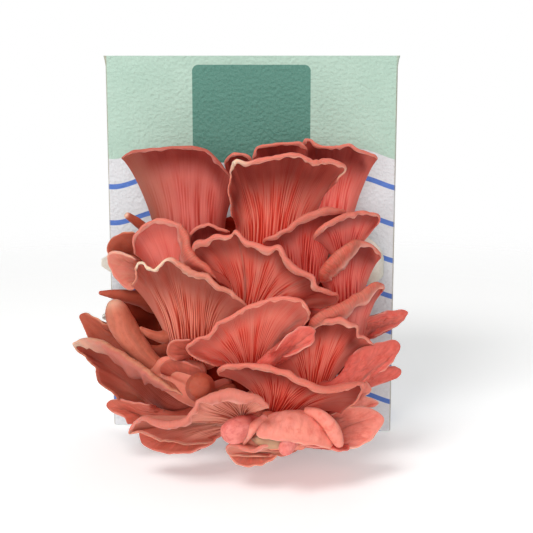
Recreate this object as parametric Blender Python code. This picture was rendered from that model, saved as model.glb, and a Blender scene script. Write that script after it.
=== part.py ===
import math

import bmesh
import bpy
import numpy as np
from mathutils.bvhtree import BVHTree

# Mushroom grow kit: a printed carton whose front window has let out a large
# cluster of pink oyster mushrooms.
# X is to the right seen from the front, the carton's front faces -Y, Z is up.
# The origin is the centre of the carton's bottom face.
# Lengths are millimetres and become metres in point_m.

# driving dimensions of the carton
CARTON_WIDTH = 165.0
CARTON_DEPTH = 105.0
CARTON_HEIGHT = 218.0
BOARD = 1.5
TOP_FLARE = 1.2
TOP_FLARE_HEIGHT = 6.0
WINDOW_HALF_WIDTH = 44.0
WINDOW_HALF_HEIGHT = 15.0
WINDOW_HEIGHT = 98.0
FLAP_THICKNESS = 0.9
GAP = 0.35
GROWTH = 1.25 * GAP
KEPT_SHARE = 0.4

FACE_Y = -CARTON_DEPTH / 2.0

# the photograph's point of view, from the carton's four front corners
VIEW_FROM = (54.3, -678.2, 209.0)
VIEW_YAW = 4.12
VIEW_PITCH = -10.03
VIEW_ROLL = -0.04
VIEW_FOCAL = 1100.0
VIEW_CENTRE = 266.5

# the fused trunk of the cluster: centre and half size of each lobe
TRUNK_LOBES = [
    ((0.0, FACE_Y - 8.0, 94.0), (40.0, 14.0, 18.0)),
    ((6.0, FACE_Y - 15.0, 66.0), (38.0, 17.0, 28.0)),
    ((12.0, FACE_Y - 34.0, 40.0), (32.0, 17.0, 18.0)),
]
NECK_HALF_WIDTH = 42.0
NECK_HALF_HEIGHT = 13.0


def remove_everything():
    for item in list(bpy.data.objects):
        bpy.data.objects.remove(item, do_unlink=True)


def point_m(point):
    return (point[0] * 0.001, point[1] * 0.001, point[2] * 0.001)


def unit(vector):
    vector = np.asarray(vector, dtype=float)
    return vector / max(np.linalg.norm(vector), 1e-9)


def view_axes():
    yaw = math.radians(VIEW_YAW)
    pitch = math.radians(VIEW_PITCH)
    roll = math.radians(VIEW_ROLL)
    turn = np.array([
        [math.cos(yaw), -math.sin(yaw), 0.0],
        [math.sin(yaw), math.cos(yaw), 0.0],
        [0.0, 0.0, 1.0],
    ])
    nod = np.array([
        [1.0, 0.0, 0.0],
        [0.0, math.cos(pitch), -math.sin(pitch)],
        [0.0, math.sin(pitch), math.cos(pitch)],
    ])
    lean = np.array([
        [math.cos(roll), 0.0, math.sin(roll)],
        [0.0, 1.0, 0.0],
        [-math.sin(roll), 0.0, math.cos(roll)],
    ])
    return turn @ nod @ lean


AXES = view_axes()
EYE = np.array(VIEW_FROM)


def sight(column, row, out):
    """The point seen at a photo position that lies `out` in front of the face."""
    ray = AXES @ np.array([
        (column - VIEW_CENTRE) / VIEW_FOCAL,
        1.0,
        (VIEW_CENTRE - row) / VIEW_FOCAL,
    ])
    reach = (FACE_Y - out - EYE[1]) / ray[1]
    return EYE + ray * reach


def smooth_curve(points, count):
    """A smooth curve through the points, `count` samples evenly spaced."""
    points = np.asarray(points, dtype=float)
    ends = np.vstack([2 * points[0] - points[1], points, 2 * points[-1] - points[-2]])
    dense = []
    for i in range(1, len(ends) - 2):
        for k in range(12):
            u = k / 12.0
            a, b, c, d = ends[i - 1], ends[i], ends[i + 1], ends[i + 2]
            dense.append(0.5 * (2 * b + (c - a) * u + (2 * a - 5 * b + 4 * c - d) * u * u
                                + (3 * b - a - 3 * c + d) * u ** 3))
    dense.append(points[-1])
    dense = np.array(dense)
    steps = np.linalg.norm(np.diff(dense, axis=0), axis=1)
    length = np.concatenate([[0.0], np.cumsum(steps)])
    wanted = np.linspace(0.0, length[-1], count)
    values = [np.interp(wanted, length, dense[:, i]) for i in range(dense.shape[1])]
    return np.stack(values, axis=1)


def bezier(a, b, c, d, s):
    return ((1 - s) ** 3 * a + 3 * (1 - s) ** 2 * s * b + 3 * (1 - s) * s * s * c + s ** 3 * d)


def in_trunk(spot):
    for centre, half in TRUNK_LOBES:
        if np.sum(((spot - np.array(centre)) / np.array(half)) ** 2) < 1.0:
            return True
    return False


def trunk_root(neck, radius):
    """Where a stem that leads to the neck leaves the trunk, a little outside it."""
    centres = [np.array(centre) for centre, half in TRUNK_LOBES]
    target = min(centres, key=lambda centre: np.linalg.norm(neck - centre))
    line = neck - target
    reach = 1.0
    while reach > 0.0 and not in_trunk(target + line * reach):
        reach -= 0.01
    away = unit(line)
    return target + line * reach + away * (GAP + radius * 0.5), away


def fan_rows(spec):
    """Middle surface of one mushroom: rows run from the stem's root to the margin."""
    margin = smooth_curve([sight(*p) for p in spec["margin"]], spec["cols"])
    neck = sight(*spec["neck"])
    radius = spec["radius"]
    root, away = trunk_root(neck, radius)
    to_view = unit(EYE - neck)
    middle = unit(margin.mean(axis=0) - neck)
    ahead = unit(middle - to_view * spec["lean"] + np.array([0.0, 0.0, spec["lift"]]))
    across = margin[-1] - margin[0]
    across = unit(across - ahead * np.dot(across, ahead))
    length = np.linalg.norm(neck - root)
    sides = np.linspace(-1.0, 1.0, spec["cols"])
    rows = []
    halves = []
    away = unit(away + ahead * 0.7)
    stem_across = unit(across - away * np.dot(across, away))
    spread = spec["spread"]
    stem_rows = spec["stem_rows"]
    if length < radius * 3.0:
        stem_rows = (0.0, 1.0)
    if length < radius * 1.5:
        stem_rows = (1.0,)
    for s in stem_rows:
        centre = bezier(root, root + away * length * 0.35, neck - ahead * length * 0.35, neck, s)
        wide = unit(stem_across * (1 - s) + across * s)
        width = radius + (spread - radius) * s * s
        sag = to_view * (width - radius) * s
        rows.append([centre + wide * width * t - sag * t * t for t in sides])
        halves.append((radius, 2.0))
    for s in spec["fan_rows"]:
        row = []
        for t, edge in zip(sides, margin):
            start = neck + across * spread * t - to_view * (spread - radius) * t * t
            reach = np.linalg.norm(edge - start)
            radial = unit(edge - start)
            final = unit(radial - ahead * spec["flare"])
            first_pull = start + ahead * reach * spec["push"]
            last_pull = edge - final * reach * 0.33
            row.append(bezier(start, first_pull, last_pull, edge, s))
        rows.append(row)
        blend = min(1.0, s / 0.45)
        blend = blend * blend * (3 - 2 * blend)
        thick = radius * (1 - blend) + CAP_HALF_THICKNESS * blend
        thick += (EDGE_HALF_THICKNESS - CAP_HALF_THICKNESS) * max(0.0, (s - 0.45) / 0.55)
        halves.append((thick, 2.0 + 5.0 * blend))
    return np.array(rows), halves


def surface_normals(net):
    along = np.gradient(net, axis=0)
    side = np.gradient(net, axis=1)
    normal = np.cross(along, side)
    size = np.linalg.norm(normal, axis=2, keepdims=True)
    normal = normal / np.maximum(size, 1e-9)
    to_view = EYE - net
    if np.sum(normal * to_view) < 0:
        normal = -normal
    return normal


def lip_row(net, normal, spec):
    """Rolled margin: one more row, turned from the ribs' ends towards the viewer."""
    rib = net[-1] - net[-2]
    rib = rib / np.maximum(np.linalg.norm(rib, axis=1, keepdims=True), 1e-9)
    turn = normal[-1] - rib * np.sum(normal[-1] * rib, axis=1, keepdims=True)
    turn = turn / np.maximum(np.linalg.norm(turn, axis=1, keepdims=True), 1e-9)
    size, angle = spec["lip"]
    a = math.radians(angle)
    row = net[-1] + rib * size * math.sin(a) + turn * size * (1 - math.cos(a))
    return row, turn * math.cos(a) - rib * math.sin(a)


def sheet_solid(net, normal, halves):
    """Closed body round a middle surface: viewer side and far side meet at the edges."""
    count_rows, count_cols = net.shape[:2]
    sides = np.linspace(-1.0, 1.0, count_cols)
    bm = bmesh.new()
    front = []
    back = []
    for i in range(count_rows):
        thick, power = halves[i]
        front_row = []
        back_row = []
        for j in range(count_cols):
            t = abs(sides[j])
            half = thick * (1 - t ** power) ** (1 / power) if t < 1 else 0.0
            if half > 0.0:
                front_row.append(bm.verts.new(point_m(net[i, j] + normal[i, j] * half)))
                back_row.append(bm.verts.new(point_m(net[i, j] - normal[i, j] * half)))
            else:
                rim = bm.verts.new(point_m(net[i, j]))
                front_row.append(rim)
                back_row.append(rim)
        front.append(front_row)
        back.append(back_row)
    for i in range(count_rows - 1):
        for j in range(count_cols - 1):
            bm.faces.new((front[i][j], front[i][j + 1], front[i + 1][j + 1], front[i + 1][j]))
            bm.faces.new((back[i][j], back[i + 1][j], back[i + 1][j + 1], back[i][j + 1]))
    bm.faces.new(list(reversed(front[0])) + back[0][1:-1])
    for j in range(count_cols - 1):
        corner = [front[-1][j], front[-1][j + 1], back[-1][j + 1], back[-1][j]]
        bm.faces.new(list(dict.fromkeys(corner)))
    bmesh.ops.triangulate(bm, faces=bm.faces)
    bmesh.ops.recalc_face_normals(bm, faces=bm.faces)
    return bm


def anchor(name, spot):
    """An empty that carries the pieces of one group."""
    empty = bpy.data.objects.new(name, None)
    empty.location = point_m(spot)
    bpy.context.scene.collection.objects.link(empty)
    return empty


def place(name, bm, material, origin=(0.0, 0.0, 0.0), parent=None):
    """Link a body as an object whose own origin is the given point of the kit."""
    bmesh.ops.translate(bm, verts=bm.verts, vec=[-value for value in point_m(origin)])
    mesh = bpy.data.meshes.new(name)
    bm.to_mesh(mesh)
    bm.free()
    mesh.materials.append(material)
    item = bpy.data.objects.new(name, mesh)
    item.location = point_m(origin)
    if parent is not None:
        item.parent = parent
        item.location = [value - shift for value, shift in zip(point_m(origin), parent.location)]
    bpy.context.scene.collection.objects.link(item)
    return item


FLESH_TONES = {
    "coral": (0.70, 0.14, 0.11),
    "rose": (0.72, 0.24, 0.20),
    "russet": (0.52, 0.16, 0.09),
}
FLESH_ROUGHNESS = 0.6


def flesh_material(name, tone):
    return plain_material(name + "_flesh", FLESH_TONES[tone], FLESH_ROUGHNESS)


def plain_material(name, colour, roughness):
    material = bpy.data.materials.new(name)
    material.use_nodes = True
    shader = material.node_tree.nodes["Principled BSDF"]
    shader.inputs["Base Color"].default_value = (*colour, 1.0)
    shader.inputs["Roughness"].default_value = roughness
    return material


# how finely a fan is built: columns across it, rows along its stem, rows along its cap
FINENESS = {
    "large": (11, (0.0, 0.5, 1.0), (0.36, 0.72, 1.0)),
    "medium": (8, (0.0, 0.5, 1.0), (0.36, 0.72, 1.0)),
    "small": (6, (0.0, 1.0), (0.5, 1.0)),
}
CAP_HALF_THICKNESS = 1.9
EDGE_HALF_THICKNESS = 1.1


def fan(name, margin, neck, radius=4.5, spread=0.0, lean=0.35, flare=0.45, lip=(2.2, 80.0),
        size="large", lift=0.0, push=0.33, tone="coral"):
    """One fan: stem radius, half width of the neck, tilts of the cap, (size, angle) of its lip."""
    columns, stem_rows, fan_rows = FINENESS[size]
    return {
        "name": name, "margin": margin, "neck": neck, "radius": radius,
        "spread": max(spread, radius), "lean": lean, "flare": flare, "lip": lip,
        "cols": columns, "stem_rows": stem_rows, "fan_rows": fan_rows,
        "lift": lift, "push": push, "tone": tone,
    }


# every fan: margin as (photo column, photo row, distance in front of the face),
# then the neck where its stem widens
FANS = [
    fan("mushroom_top_left",
        [(121, 158, 40), (127, 153, 42), (137, 149, 45), (151, 148, 47), (168, 147, 48),
         (182, 146, 48), (196, 147, 47), (207, 150, 45), (216, 157, 43), (223, 165, 41),
         (231, 176, 38), (238, 190, 34)],
        (192, 252, 30), spread=17.0, flare=0.6),
    fan("mushroom_top_middle",
        [(233, 218, 45), (230, 200, 49), (229, 180, 53), (231, 162, 57), (237, 158, 60),
         (246, 161, 60), (255, 159, 60), (263, 158, 61), (275, 155, 62), (289, 153, 63),
         (300, 154, 62), (308, 158, 61), (319, 160, 59), (331, 158, 57), (340, 159, 55),
         (345, 164, 53), (345, 172, 51), (337, 184, 49)],
        (272, 262, 34), radius=5.0, spread=17.0),
    fan("mushroom_top_back",
        [(252, 158, 40), (256, 148, 42), (263, 145, 43), (275, 143, 43), (289, 142, 43),
         (300, 142, 42), (308, 148, 41)],
        (283, 208, 22), size="small", lean=0.2),
    fan("mushroom_top_right",
        [(300, 146, 33), (305, 138, 34), (311, 140, 35), (319, 144, 36), (331, 146, 37),
         (342, 145, 38), (350, 144, 39), (359, 148, 39), (367, 152, 38), (375, 155, 37),
         (378, 159, 35)],
        (326, 228, 20), spread=12.0, flare=0.6),
    fan("mushroom_top_gap",
        [(224, 164, 33), (228, 157, 35), (233, 153, 37), (241, 153, 38), (249, 156, 38),
         (253, 162, 37)],
        (242, 212, 20), size="small", lean=0.2),
    fan("mushroom_right_upper",
        [(262, 242, 62), (266, 236, 64), (275, 233, 65), (286, 227, 65), (294, 220, 64),
         (303, 214, 62), (314, 210, 60), (325, 206, 58), (336, 207, 55), (345, 210, 52),
         (348, 216, 50)],
        (301, 292, 42), radius=5.0, spread=13.0, lip=(2.6, 80.0)),
    fan("mushroom_right_lobe",
        [(314, 240, 60), (314, 233, 62), (319, 225, 63), (331, 219, 62), (342, 214, 60),
         (353, 211, 57), (367, 211, 53), (377, 214, 50), (379, 219, 48), (377, 226, 47)],
        (344, 262, 33), spread=8.0, size="medium"),
    fan("mushroom_right_rolled",
        [(319, 280, 62), (319, 268, 64), (326, 259, 65), (336, 249, 65), (347, 242, 63),
         (360, 239, 60), (370, 241, 57), (375, 246, 54), (380, 251, 51), (380, 257, 49)],
        (343, 306, 42), spread=10.0, lip=(3.6, 110.0)),
    fan("mushroom_centre_upper",
        [(194, 246, 66), (196, 241, 68), (203, 241, 70), (213, 236, 72), (223, 234, 74),
         (234, 231, 76), (241, 234, 77), (247, 240, 78), (258, 246, 80), (269, 250, 80),
         (277, 248, 80), (282, 252, 80), (286, 262, 79), (294, 269, 78), (308, 276, 77),
         (314, 284, 76), (324, 291, 73), (337, 295, 69), (335, 302, 66), (320, 309, 64)],
        (249, 322, 45), radius=6.0, spread=15.0, lip=(2.8, 90.0)),
    fan("mushroom_centre_peek",
        [(189, 240, 58), (190, 234, 59), (196, 227, 60), (204, 224, 61), (211, 223, 62),
         (218, 227, 62), (230, 231, 61)],
        (212, 268, 38), spread=11.0, size="small"),
    fan("mushroom_left_cup",
        [(134, 254, 50), (133, 237, 52), (140, 228, 54), (148, 222, 55), (158, 218, 56),
         (168, 219, 57), (175, 223, 58), (184, 224, 60), (188, 233, 63), (189, 243, 66),
         (193, 252, 68), (201, 261, 70), (210, 269, 71), (216, 279, 71)],
        (184, 298, 42), spread=12.0, lip=(3.2, 100.0)),
    fan("mushroom_far_left_upper",
        [(115, 257, 33), (108, 252, 33), (110, 241, 34), (117, 236, 36),
         (131, 234, 38)],
        (148, 268, 24), radius=3.5, size="small", flare=0.3, tone="russet"),
    fan("mushroom_far_left_lower",
        [(114, 256, 40), (108, 258, 40), (110, 265, 41), (113, 272, 42), (117, 279, 43),
         (124, 286, 44), (134, 289, 45)],
        (150, 284, 30), radius=3.5, size="small", flare=0.3, tone="rose"),
    fan("mushroom_left_centre",
        [(131, 286, 60), (136, 278, 63), (135, 269, 65), (137, 264, 66),
         (140, 262, 68), (147, 265, 70), (154, 268, 71), (159, 265, 73), (165, 260, 74),
         (171, 258, 75), (176, 262, 76), (185, 267, 77), (193, 270, 78), (207, 277, 79),
         (221, 287, 80), (232, 293, 80), (241, 300, 80), (248, 306, 79)],
        (198, 362, 48), radius=5.5, spread=12.0, lip=(2.8, 90.0), flare=0.55, tone="russet"),
    fan("mushroom_centre",
        [(191, 354, 80), (186, 348, 81), (188, 343, 83), (196, 342, 85), (207, 335, 89),
         (218, 323, 92), (232, 315, 94), (246, 307, 95), (260, 301, 96), (275, 298, 97),
         (289, 297, 97), (303, 301, 95), (311, 311, 92), (309, 318, 90), (304, 327, 88)],
        (252, 376, 59), radius=5.5, spread=17.0, lip=(2.6, 90.0)),
    fan("mushroom_left_small_lobe",
        [(191, 341, 72), (179, 341, 72), (171, 344, 72), (168, 350, 72), (170, 356, 72),
         (177, 361, 73)],
        (206, 350, 54), radius=3.5, size="small", flare=0.2),
    fan("mushroom_right_diagonal",
        [(308, 326, 84), (310, 318, 84), (319, 312, 82), (333, 305, 78), (347, 298, 74),
         (359, 291, 70), (373, 283, 65), (380, 281, 62), (384, 285, 60), (383, 291, 59)],
        (342, 344, 56), spread=12.0, lip=(3.6, 120.0)),
    fan("mushroom_right_spear_upper",
        [(363, 322, 50), (372, 317, 47), (384, 314, 44), (396, 311, 41), (404, 311, 38),
         (407, 314, 37), (400, 322, 39), (387, 329, 43), (375, 336, 47)],
        (358, 334, 42), size="small", flare=0.1, lip=(1.2, 60.0), tone="rose"),
    fan("mushroom_right_centre",
        [(302, 334, 78), (305, 328, 79), (314, 321, 80), (325, 318, 81), (339, 319, 82),
         (352, 321, 79), (359, 326, 76), (360, 334, 73), (368, 339, 69), (375, 344, 66)],
        (321, 384, 60), radius=4.5, spread=11.0),
    fan("mushroom_centre_tongue",
        [(287, 344, 96), (294, 336, 97), (303, 329, 97), (310, 327, 97), (315, 333, 96),
         (312, 340, 96), (311, 346, 95), (302, 351, 94)],
        (276, 364, 82), radius=4.0, size="small", flare=0.1, lip=(1.2, 60.0), tone="rose"),
    fan("mushroom_right_spear_lower",
        [(358, 357, 70), (367, 349, 68), (376, 346, 65), (387, 343, 60), (395, 342, 57),
         (399, 346, 56), (398, 352, 57), (393, 360, 60)],
        (346, 390, 68), radius=3.5, size="small", flare=0.1, lip=(1.2, 60.0), tone="rose"),
    fan("mushroom_right_spear_small",
        [(370, 374, 50), (381, 368, 48), (390, 367, 46), (398, 368, 44), (401, 373, 43),
         (398, 378, 44)],
        (358, 388, 46), radius=3.0, size="small", flare=0.1, lip=(1.2, 60.0), tone="rose"),
    fan("mushroom_lower_centre",
        [(219, 376, 92), (217, 371, 94), (221, 366, 97), (232, 364, 100), (246, 363, 103),
         (263, 364, 105), (275, 367, 106), (289, 371, 106), (297, 378, 106), (308, 382, 105),
         (319, 388, 103), (331, 391, 100), (345, 388, 96), (356, 382, 92), (364, 384, 88),
         (362, 391, 86), (358, 399, 85), (349, 405, 85), (341, 413, 84)],
        (297, 413, 66), radius=5.5, spread=15.0, lip=(3.2, 100.0)),
    fan("mushroom_right_ruffle",
        [(361, 377, 64), (367, 384, 62), (371, 390, 60), (365, 396, 60), (372, 400, 57),
         (379, 403, 55), (373, 407, 57)],
        (344, 404, 54), radius=3.0, spread=5.0, size="small", flare=0.2, lip=(1.2, 60.0)),
    fan("mushroom_bottom_left",
        [(127, 433, 90), (131, 426, 92), (139, 419, 95), (145, 425, 98), (154, 429, 101),
         (162, 430, 103), (174, 426, 105), (185, 419, 107), (193, 410, 108), (201, 400, 109),
         (208, 395, 110), (218, 391, 111), (232, 389, 112), (246, 391, 113), (258, 396, 113),
         (267, 402, 113), (270, 408, 112)],
        (252, 426, 84), radius=5.0, spread=9.0, lip=(3.6, 115.0)),
    fan("mushroom_bottom_left_under",
        [(146, 437, 88), (142, 444, 88), (154, 450, 90), (171, 452, 91), (188, 451, 92),
         (204, 445, 92)],
        (212, 424, 70), size="small", flare=0.3, tone="rose"),
    fan("mushroom_bottom_centre",
        [(256, 429, 106), (257, 434, 108), (270, 437, 110), (285, 438, 111), (300, 440, 110),
         (315, 441, 108), (327, 444, 105), (334, 447, 102), (340, 444, 98)],
        (294, 430, 80), radius=4.5, spread=13.0, size="medium", flare=0.7, lift=1.6, push=0.8,
        lip=(2.4, 80.0), tone="rose"),
    fan("mushroom_bottom_right",
        [(344, 411, 80), (354, 410, 79), (366, 409, 77), (378, 413, 76), (384, 419, 78),
         (379, 428, 82), (370, 437, 86), (361, 443, 89), (352, 446, 91), (344, 445, 92)],
        (326, 434, 70), radius=3.5, spread=7.0, size="medium", flare=0.2, tone="rose"),
    fan("mushroom_bottom_fan",
        [(229, 455, 103), (231, 448, 105), (234, 445, 106), (240, 448, 107), (247, 450, 107),
         (256, 449, 106), (264, 446, 105)],
        (282, 456, 100), radius=2.0, spread=3.0, size="small", flare=0.2, lip=(1.6, 70.0)),
    fan("mushroom_bottom_fan_under",
        [(234, 455, 94), (238, 461, 95), (245, 464, 96), (254, 464, 97), (264, 461, 97),
         (273, 456, 96)],
        (258, 455, 82), radius=2.5, spread=6.0, size="small", flare=0.1, lip=(1.0, 60.0)),
    fan("mushroom_bottom_right_under",
        [(292, 453, 92), (300, 449, 95), (312, 450, 97), (325, 450, 97), (337, 450, 96),
         (346, 450, 93), (348, 445, 91)],
        (318, 445, 76), radius=2.5, spread=8.0, size="small", flare=0.2, lip=(1.4, 60.0)),
    fan("mushroom_left_lower",
        [(119, 400, 66), (113, 393, 63), (105, 387, 60), (99, 381, 57), (96, 373, 54),
         (96, 367, 52), (89, 361, 49), (80, 353, 46), (73, 345, 44), (76, 341, 45),
         (85, 339, 48), (96, 341, 52), (110, 348, 57), (124, 357, 63), (138, 368, 69),
         (150, 378, 75), (163, 387, 80), (183, 398, 84)],
        (170, 400, 54), radius=4.5, spread=12.0, lip=(3.0, 100.0), flare=0.3, tone="russet"),
    fan("mushroom_left_back",
        [(89, 340, 34), (87, 332, 33), (83, 325, 32), (80, 317, 31), (83, 314, 31),
         (90, 316, 33), (98, 321, 35), (105, 325, 37), (113, 323, 39)],
        (134, 354, 34), radius=3.5, spread=10.0, size="small", flare=0.3, lip=(1.4, 60.0), tone="russet"),
    fan("mushroom_left_bottom_lobe",
        [(127, 424, 68), (125, 416, 67), (118, 413, 65), (110, 409, 63), (107, 405, 62),
         (112, 401, 62), (122, 401, 65), (136, 404, 69), (150, 406, 73)],
        (162, 418, 58), radius=3.5, spread=6.0, size="small", flare=0.2, lip=(1.4, 60.0), tone="russet"),
    fan("mushroom_left_inner_lobe",
        [(158, 377, 68), (156, 371, 69), (165, 366, 71), (176, 363, 72), (188, 366, 73)],
        (194, 381, 62), radius=3.5, size="small", flare=0.3, tone="rose"),
]


FINGER_SIDES = 6
FINGER_RINGS = 5


def finger(name, path, tone="russet"):
    return {"name": name, "path": path, "tone": tone}


# every finger and button: centre line as (photo column, photo row, distance in
# front of the face, radius), from the trunk out to the rounded tip
FINGERS = [
    finger("mushroom_left_finger",
           [(158, 258, 14, 2.8), (149, 234, 20, 2.6), (138, 222, 24, 2.2), (126, 216, 28, 1.8)]),
    finger("mushroom_left_spur",
           [(140, 312, 28, 3.0), (122, 296, 34, 2.8), (111, 293, 38, 2.0), (101, 293, 40, 1.2)]),
    finger("mushroom_left_stem",
           [(184, 374, 42, 4.0), (158, 366, 52, 6.0), (140, 345, 54, 7.0), (126, 322, 55, 6.0),
            (116, 308, 56, 4.8)]),
    finger("mushroom_left_inner_stem",
           [(190, 350, 30, 3.4), (170, 336, 38, 3.4), (157, 332, 44, 3.0), (147, 331, 47, 2.4)]),
    finger("mushroom_ball",
           [(212, 396, 60, 3.6), (205, 390, 76, 4.4), (201, 388, 84, 6.8), (200, 387, 91, 7.0)]),
    finger("mushroom_button",
           [(238, 450, 72, 3.0), (238, 448, 88, 3.0), (232, 436, 101, 6.0), (231, 431, 107, 6.8)]),
    finger("mushroom_bottom_bud",
           [(292, 460, 80, 2.2), (289, 455, 96, 2.2), (287, 447, 104, 3.2), (287, 445, 106, 3.2)]),
]


def finger_solid(spec):
    """Round-tipped body of circles along a centre line that starts at the trunk."""
    line = [list(sight(c, r, out)) + [radius] for c, r, out, radius in spec["path"]]
    first = np.array(line[0][:3])
    start = trunk_root(first, line[0][3])[0]
    line.insert(0, list(start) + [line[0][3]])
    line = np.array(line)
    points = smooth_line(line, FINGER_RINGS)
    tip_radius = points[-1, 3]
    onward = unit(points[-1, :3] - points[-2, :3])
    bm = bmesh.new()
    rings = []
    side = unit(np.cross(onward, (0.0, 0.0, 1.0)))
    steps = [(p[:3], p[3]) for p in points]
    for a in (35.0, 65.0):
        shift = onward * tip_radius * math.sin(math.radians(a))
        steps.append((points[-1, :3] + shift, tip_radius * math.cos(math.radians(a))))
    for i, (centre, radius) in enumerate(steps):
        ahead = onward
        if i < len(points) - 1:
            ahead = unit(points[i + 1, :3] - points[i, :3])
        side = unit(side - ahead * np.dot(side, ahead))
        other = np.cross(ahead, side)
        ring = []
        for k in range(FINGER_SIDES):
            a = 2 * math.pi * k / FINGER_SIDES
            spot = centre + side * radius * math.cos(a) + other * radius * math.sin(a)
            ring.append(bm.verts.new(point_m(spot)))
        rings.append(ring)
    tip = bm.verts.new(point_m(points[-1, :3] + onward * tip_radius))
    for lower, upper in zip(rings, rings[1:]):
        for k in range(FINGER_SIDES):
            following = (k + 1) % FINGER_SIDES
            bm.faces.new((lower[k], lower[following], upper[following], upper[k]))
    for k in range(FINGER_SIDES):
        bm.faces.new((rings[-1][k], rings[-1][(k + 1) % FINGER_SIDES], tip))
    bm.faces.new(list(reversed(rings[0])))
    bmesh.ops.triangulate(bm, faces=bm.faces)
    bmesh.ops.recalc_face_normals(bm, faces=bm.faces)
    return bm


def smooth_line(points, count):
    """Evenly spaced samples of a smooth curve that carries its radius along."""
    centres = smooth_curve(points[:, :3], count)
    steps = np.linalg.norm(np.diff(points[:, :3], axis=0), axis=1)
    length = np.concatenate([[0.0], np.cumsum(steps)])
    wanted = np.linspace(0.0, length[-1], count)
    radius = np.interp(wanted, length, points[:, 3])
    return np.concatenate([centres, radius[:, None]], axis=1)


def box_mesh(name, low, high):
    bm = bmesh.new()
    bmesh.ops.create_cube(bm, size=1.0)
    for vertex in bm.verts:
        for axis in range(3):
            middle = (low[axis] + high[axis]) / 2.0
            vertex.co[axis] = (middle + vertex.co[axis] * (high[axis] - low[axis])) * 0.001
    mesh = bpy.data.meshes.new(name)
    bm.to_mesh(mesh)
    bm.free()
    return mesh


def stadium(half_width, half_height, corner, steps=4):
    """Rounded rectangle outline, anticlockwise seen from the front."""
    outline = []
    for turn, (sx, sz) in enumerate(((1, -1), (1, 1), (-1, 1), (-1, -1))):
        for k in range(steps + 1):
            a = math.radians(-90.0 + 90.0 * turn + 90.0 * k / steps)
            outline.append((sx * (half_width - corner) + corner * math.cos(a),
                            sz * (half_height - corner) + corner * math.sin(a)))
    return outline


def prism(name, outline, near_y, far_y, lift):
    bm = bmesh.new()
    near = [bm.verts.new(point_m((x, near_y, z + lift))) for x, z in outline]
    far = [bm.verts.new(point_m((x, far_y, z + lift))) for x, z in outline]
    bm.faces.new(near)
    bm.faces.new(list(reversed(far)))
    count = len(outline)
    for k in range(count):
        bm.faces.new((near[k], far[k], far[(k + 1) % count], near[(k + 1) % count]))
    bmesh.ops.recalc_face_normals(bm, faces=bm.faces)
    mesh = bpy.data.meshes.new(name)
    bm.to_mesh(mesh)
    bm.free()
    return mesh


def helper(name, mesh):
    item = bpy.data.objects.new(name, mesh)
    bpy.context.scene.collection.objects.link(item)
    item.hide_render = True
    item.display_type = "WIRE"
    return item


def combine(item, other, operation, crossing=False):
    step = item.modifiers.new(operation.lower(), "BOOLEAN")
    step.operation = operation
    step.solver = "EXACT"
    step.use_self = crossing
    step.object = other


def outer_shell():
    """Outside of the carton; its top edge stands out a little, as an opened one does."""
    bm = bmesh.new()
    rings = []
    for height, out in ((0.0, 0.0), (CARTON_HEIGHT - TOP_FLARE_HEIGHT, 0.0), (CARTON_HEIGHT, TOP_FLARE)):
        x = CARTON_WIDTH / 2.0 + out
        y = CARTON_DEPTH / 2.0
        rings.append([bm.verts.new(point_m((sx * x, sy * y, height)))
                      for sx, sy in ((-1, -1), (1, -1), (1, 1), (-1, 1))])
    for lower, upper in zip(rings, rings[1:]):
        for k in range(4):
            bm.faces.new((lower[k], lower[(k + 1) % 4], upper[(k + 1) % 4], upper[k]))
    bm.faces.new(list(reversed(rings[0])))
    bm.faces.new(rings[-1])
    bmesh.ops.recalc_face_normals(bm, faces=bm.faces)
    return bm


# the window flaps, bent out and round: distance from the middle, distance in front
# of the face, lower edge and upper edge
RIGHT_FLAP = [
    (44.6, -0.8, 85.0, 111.0), (46.0, 3.0, 85.5, 111.5), (50.0, 8.0, 86.5, 113.5),
    (58.0, 13.0, 88.5, 117.0), (66.0, 16.0, 91.0, 118.5), (73.0, 15.0, 93.5, 113.0),
    (76.0, 11.0, 96.0, 106.0),
]
LEFT_FLAP = [
    (44.6, -0.8, 85.0, 111.0), (46.0, 3.0, 85.5, 111.0), (51.0, 8.0, 86.5, 111.0),
    (60.0, 11.0, 88.0, 111.0), (70.0, 12.0, 91.0, 109.5), (79.0, 12.5, 95.5, 106.5),
    (84.5, 14.0, 99.5, 103.5),
]
FLAP_STEPS = 9
FLAP_BANDS = 3


def flap_mesh(name, side, bend):
    """One window flap: a strip of board that is bent round and curled."""
    line = smooth_curve(bend, FLAP_STEPS)
    bm = bmesh.new()
    front = []
    back = []
    for i, (x, out, low, high) in enumerate(line):
        before = line[max(i - 1, 0)]
        after = line[min(i + 1, len(line) - 1)]
        ahead = unit(after[:2] - before[:2])
        across = np.array([-ahead[1], ahead[0]]) * FLAP_THICKNESS / 2.0
        heights = np.linspace(low, high, FLAP_BANDS + 1)
        for rows, shift in ((front, across), (back, -across)):
            spot_x = side * (x + shift[0])
            spot_y = FACE_Y - out - shift[1]
            rows.append([bm.verts.new(point_m((spot_x, spot_y, z))) for z in heights])
    for i in range(len(line) - 1):
        for j in range(FLAP_BANDS):
            bm.faces.new((front[i][j], front[i][j + 1], front[i + 1][j + 1], front[i + 1][j]))
            bm.faces.new((back[i][j], back[i + 1][j], back[i + 1][j + 1], back[i][j + 1]))
        for j in (0, FLAP_BANDS):
            bm.faces.new((front[i][j], front[i + 1][j], back[i + 1][j], back[i][j]))
    for i in (0, len(line) - 1):
        for j in range(FLAP_BANDS):
            bm.faces.new((front[i][j], front[i][j + 1], back[i][j + 1], back[i][j]))
    bmesh.ops.recalc_face_normals(bm, faces=bm.faces)
    mesh = bpy.data.meshes.new(name)
    bm.to_mesh(mesh)
    bm.free()
    return mesh


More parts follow.
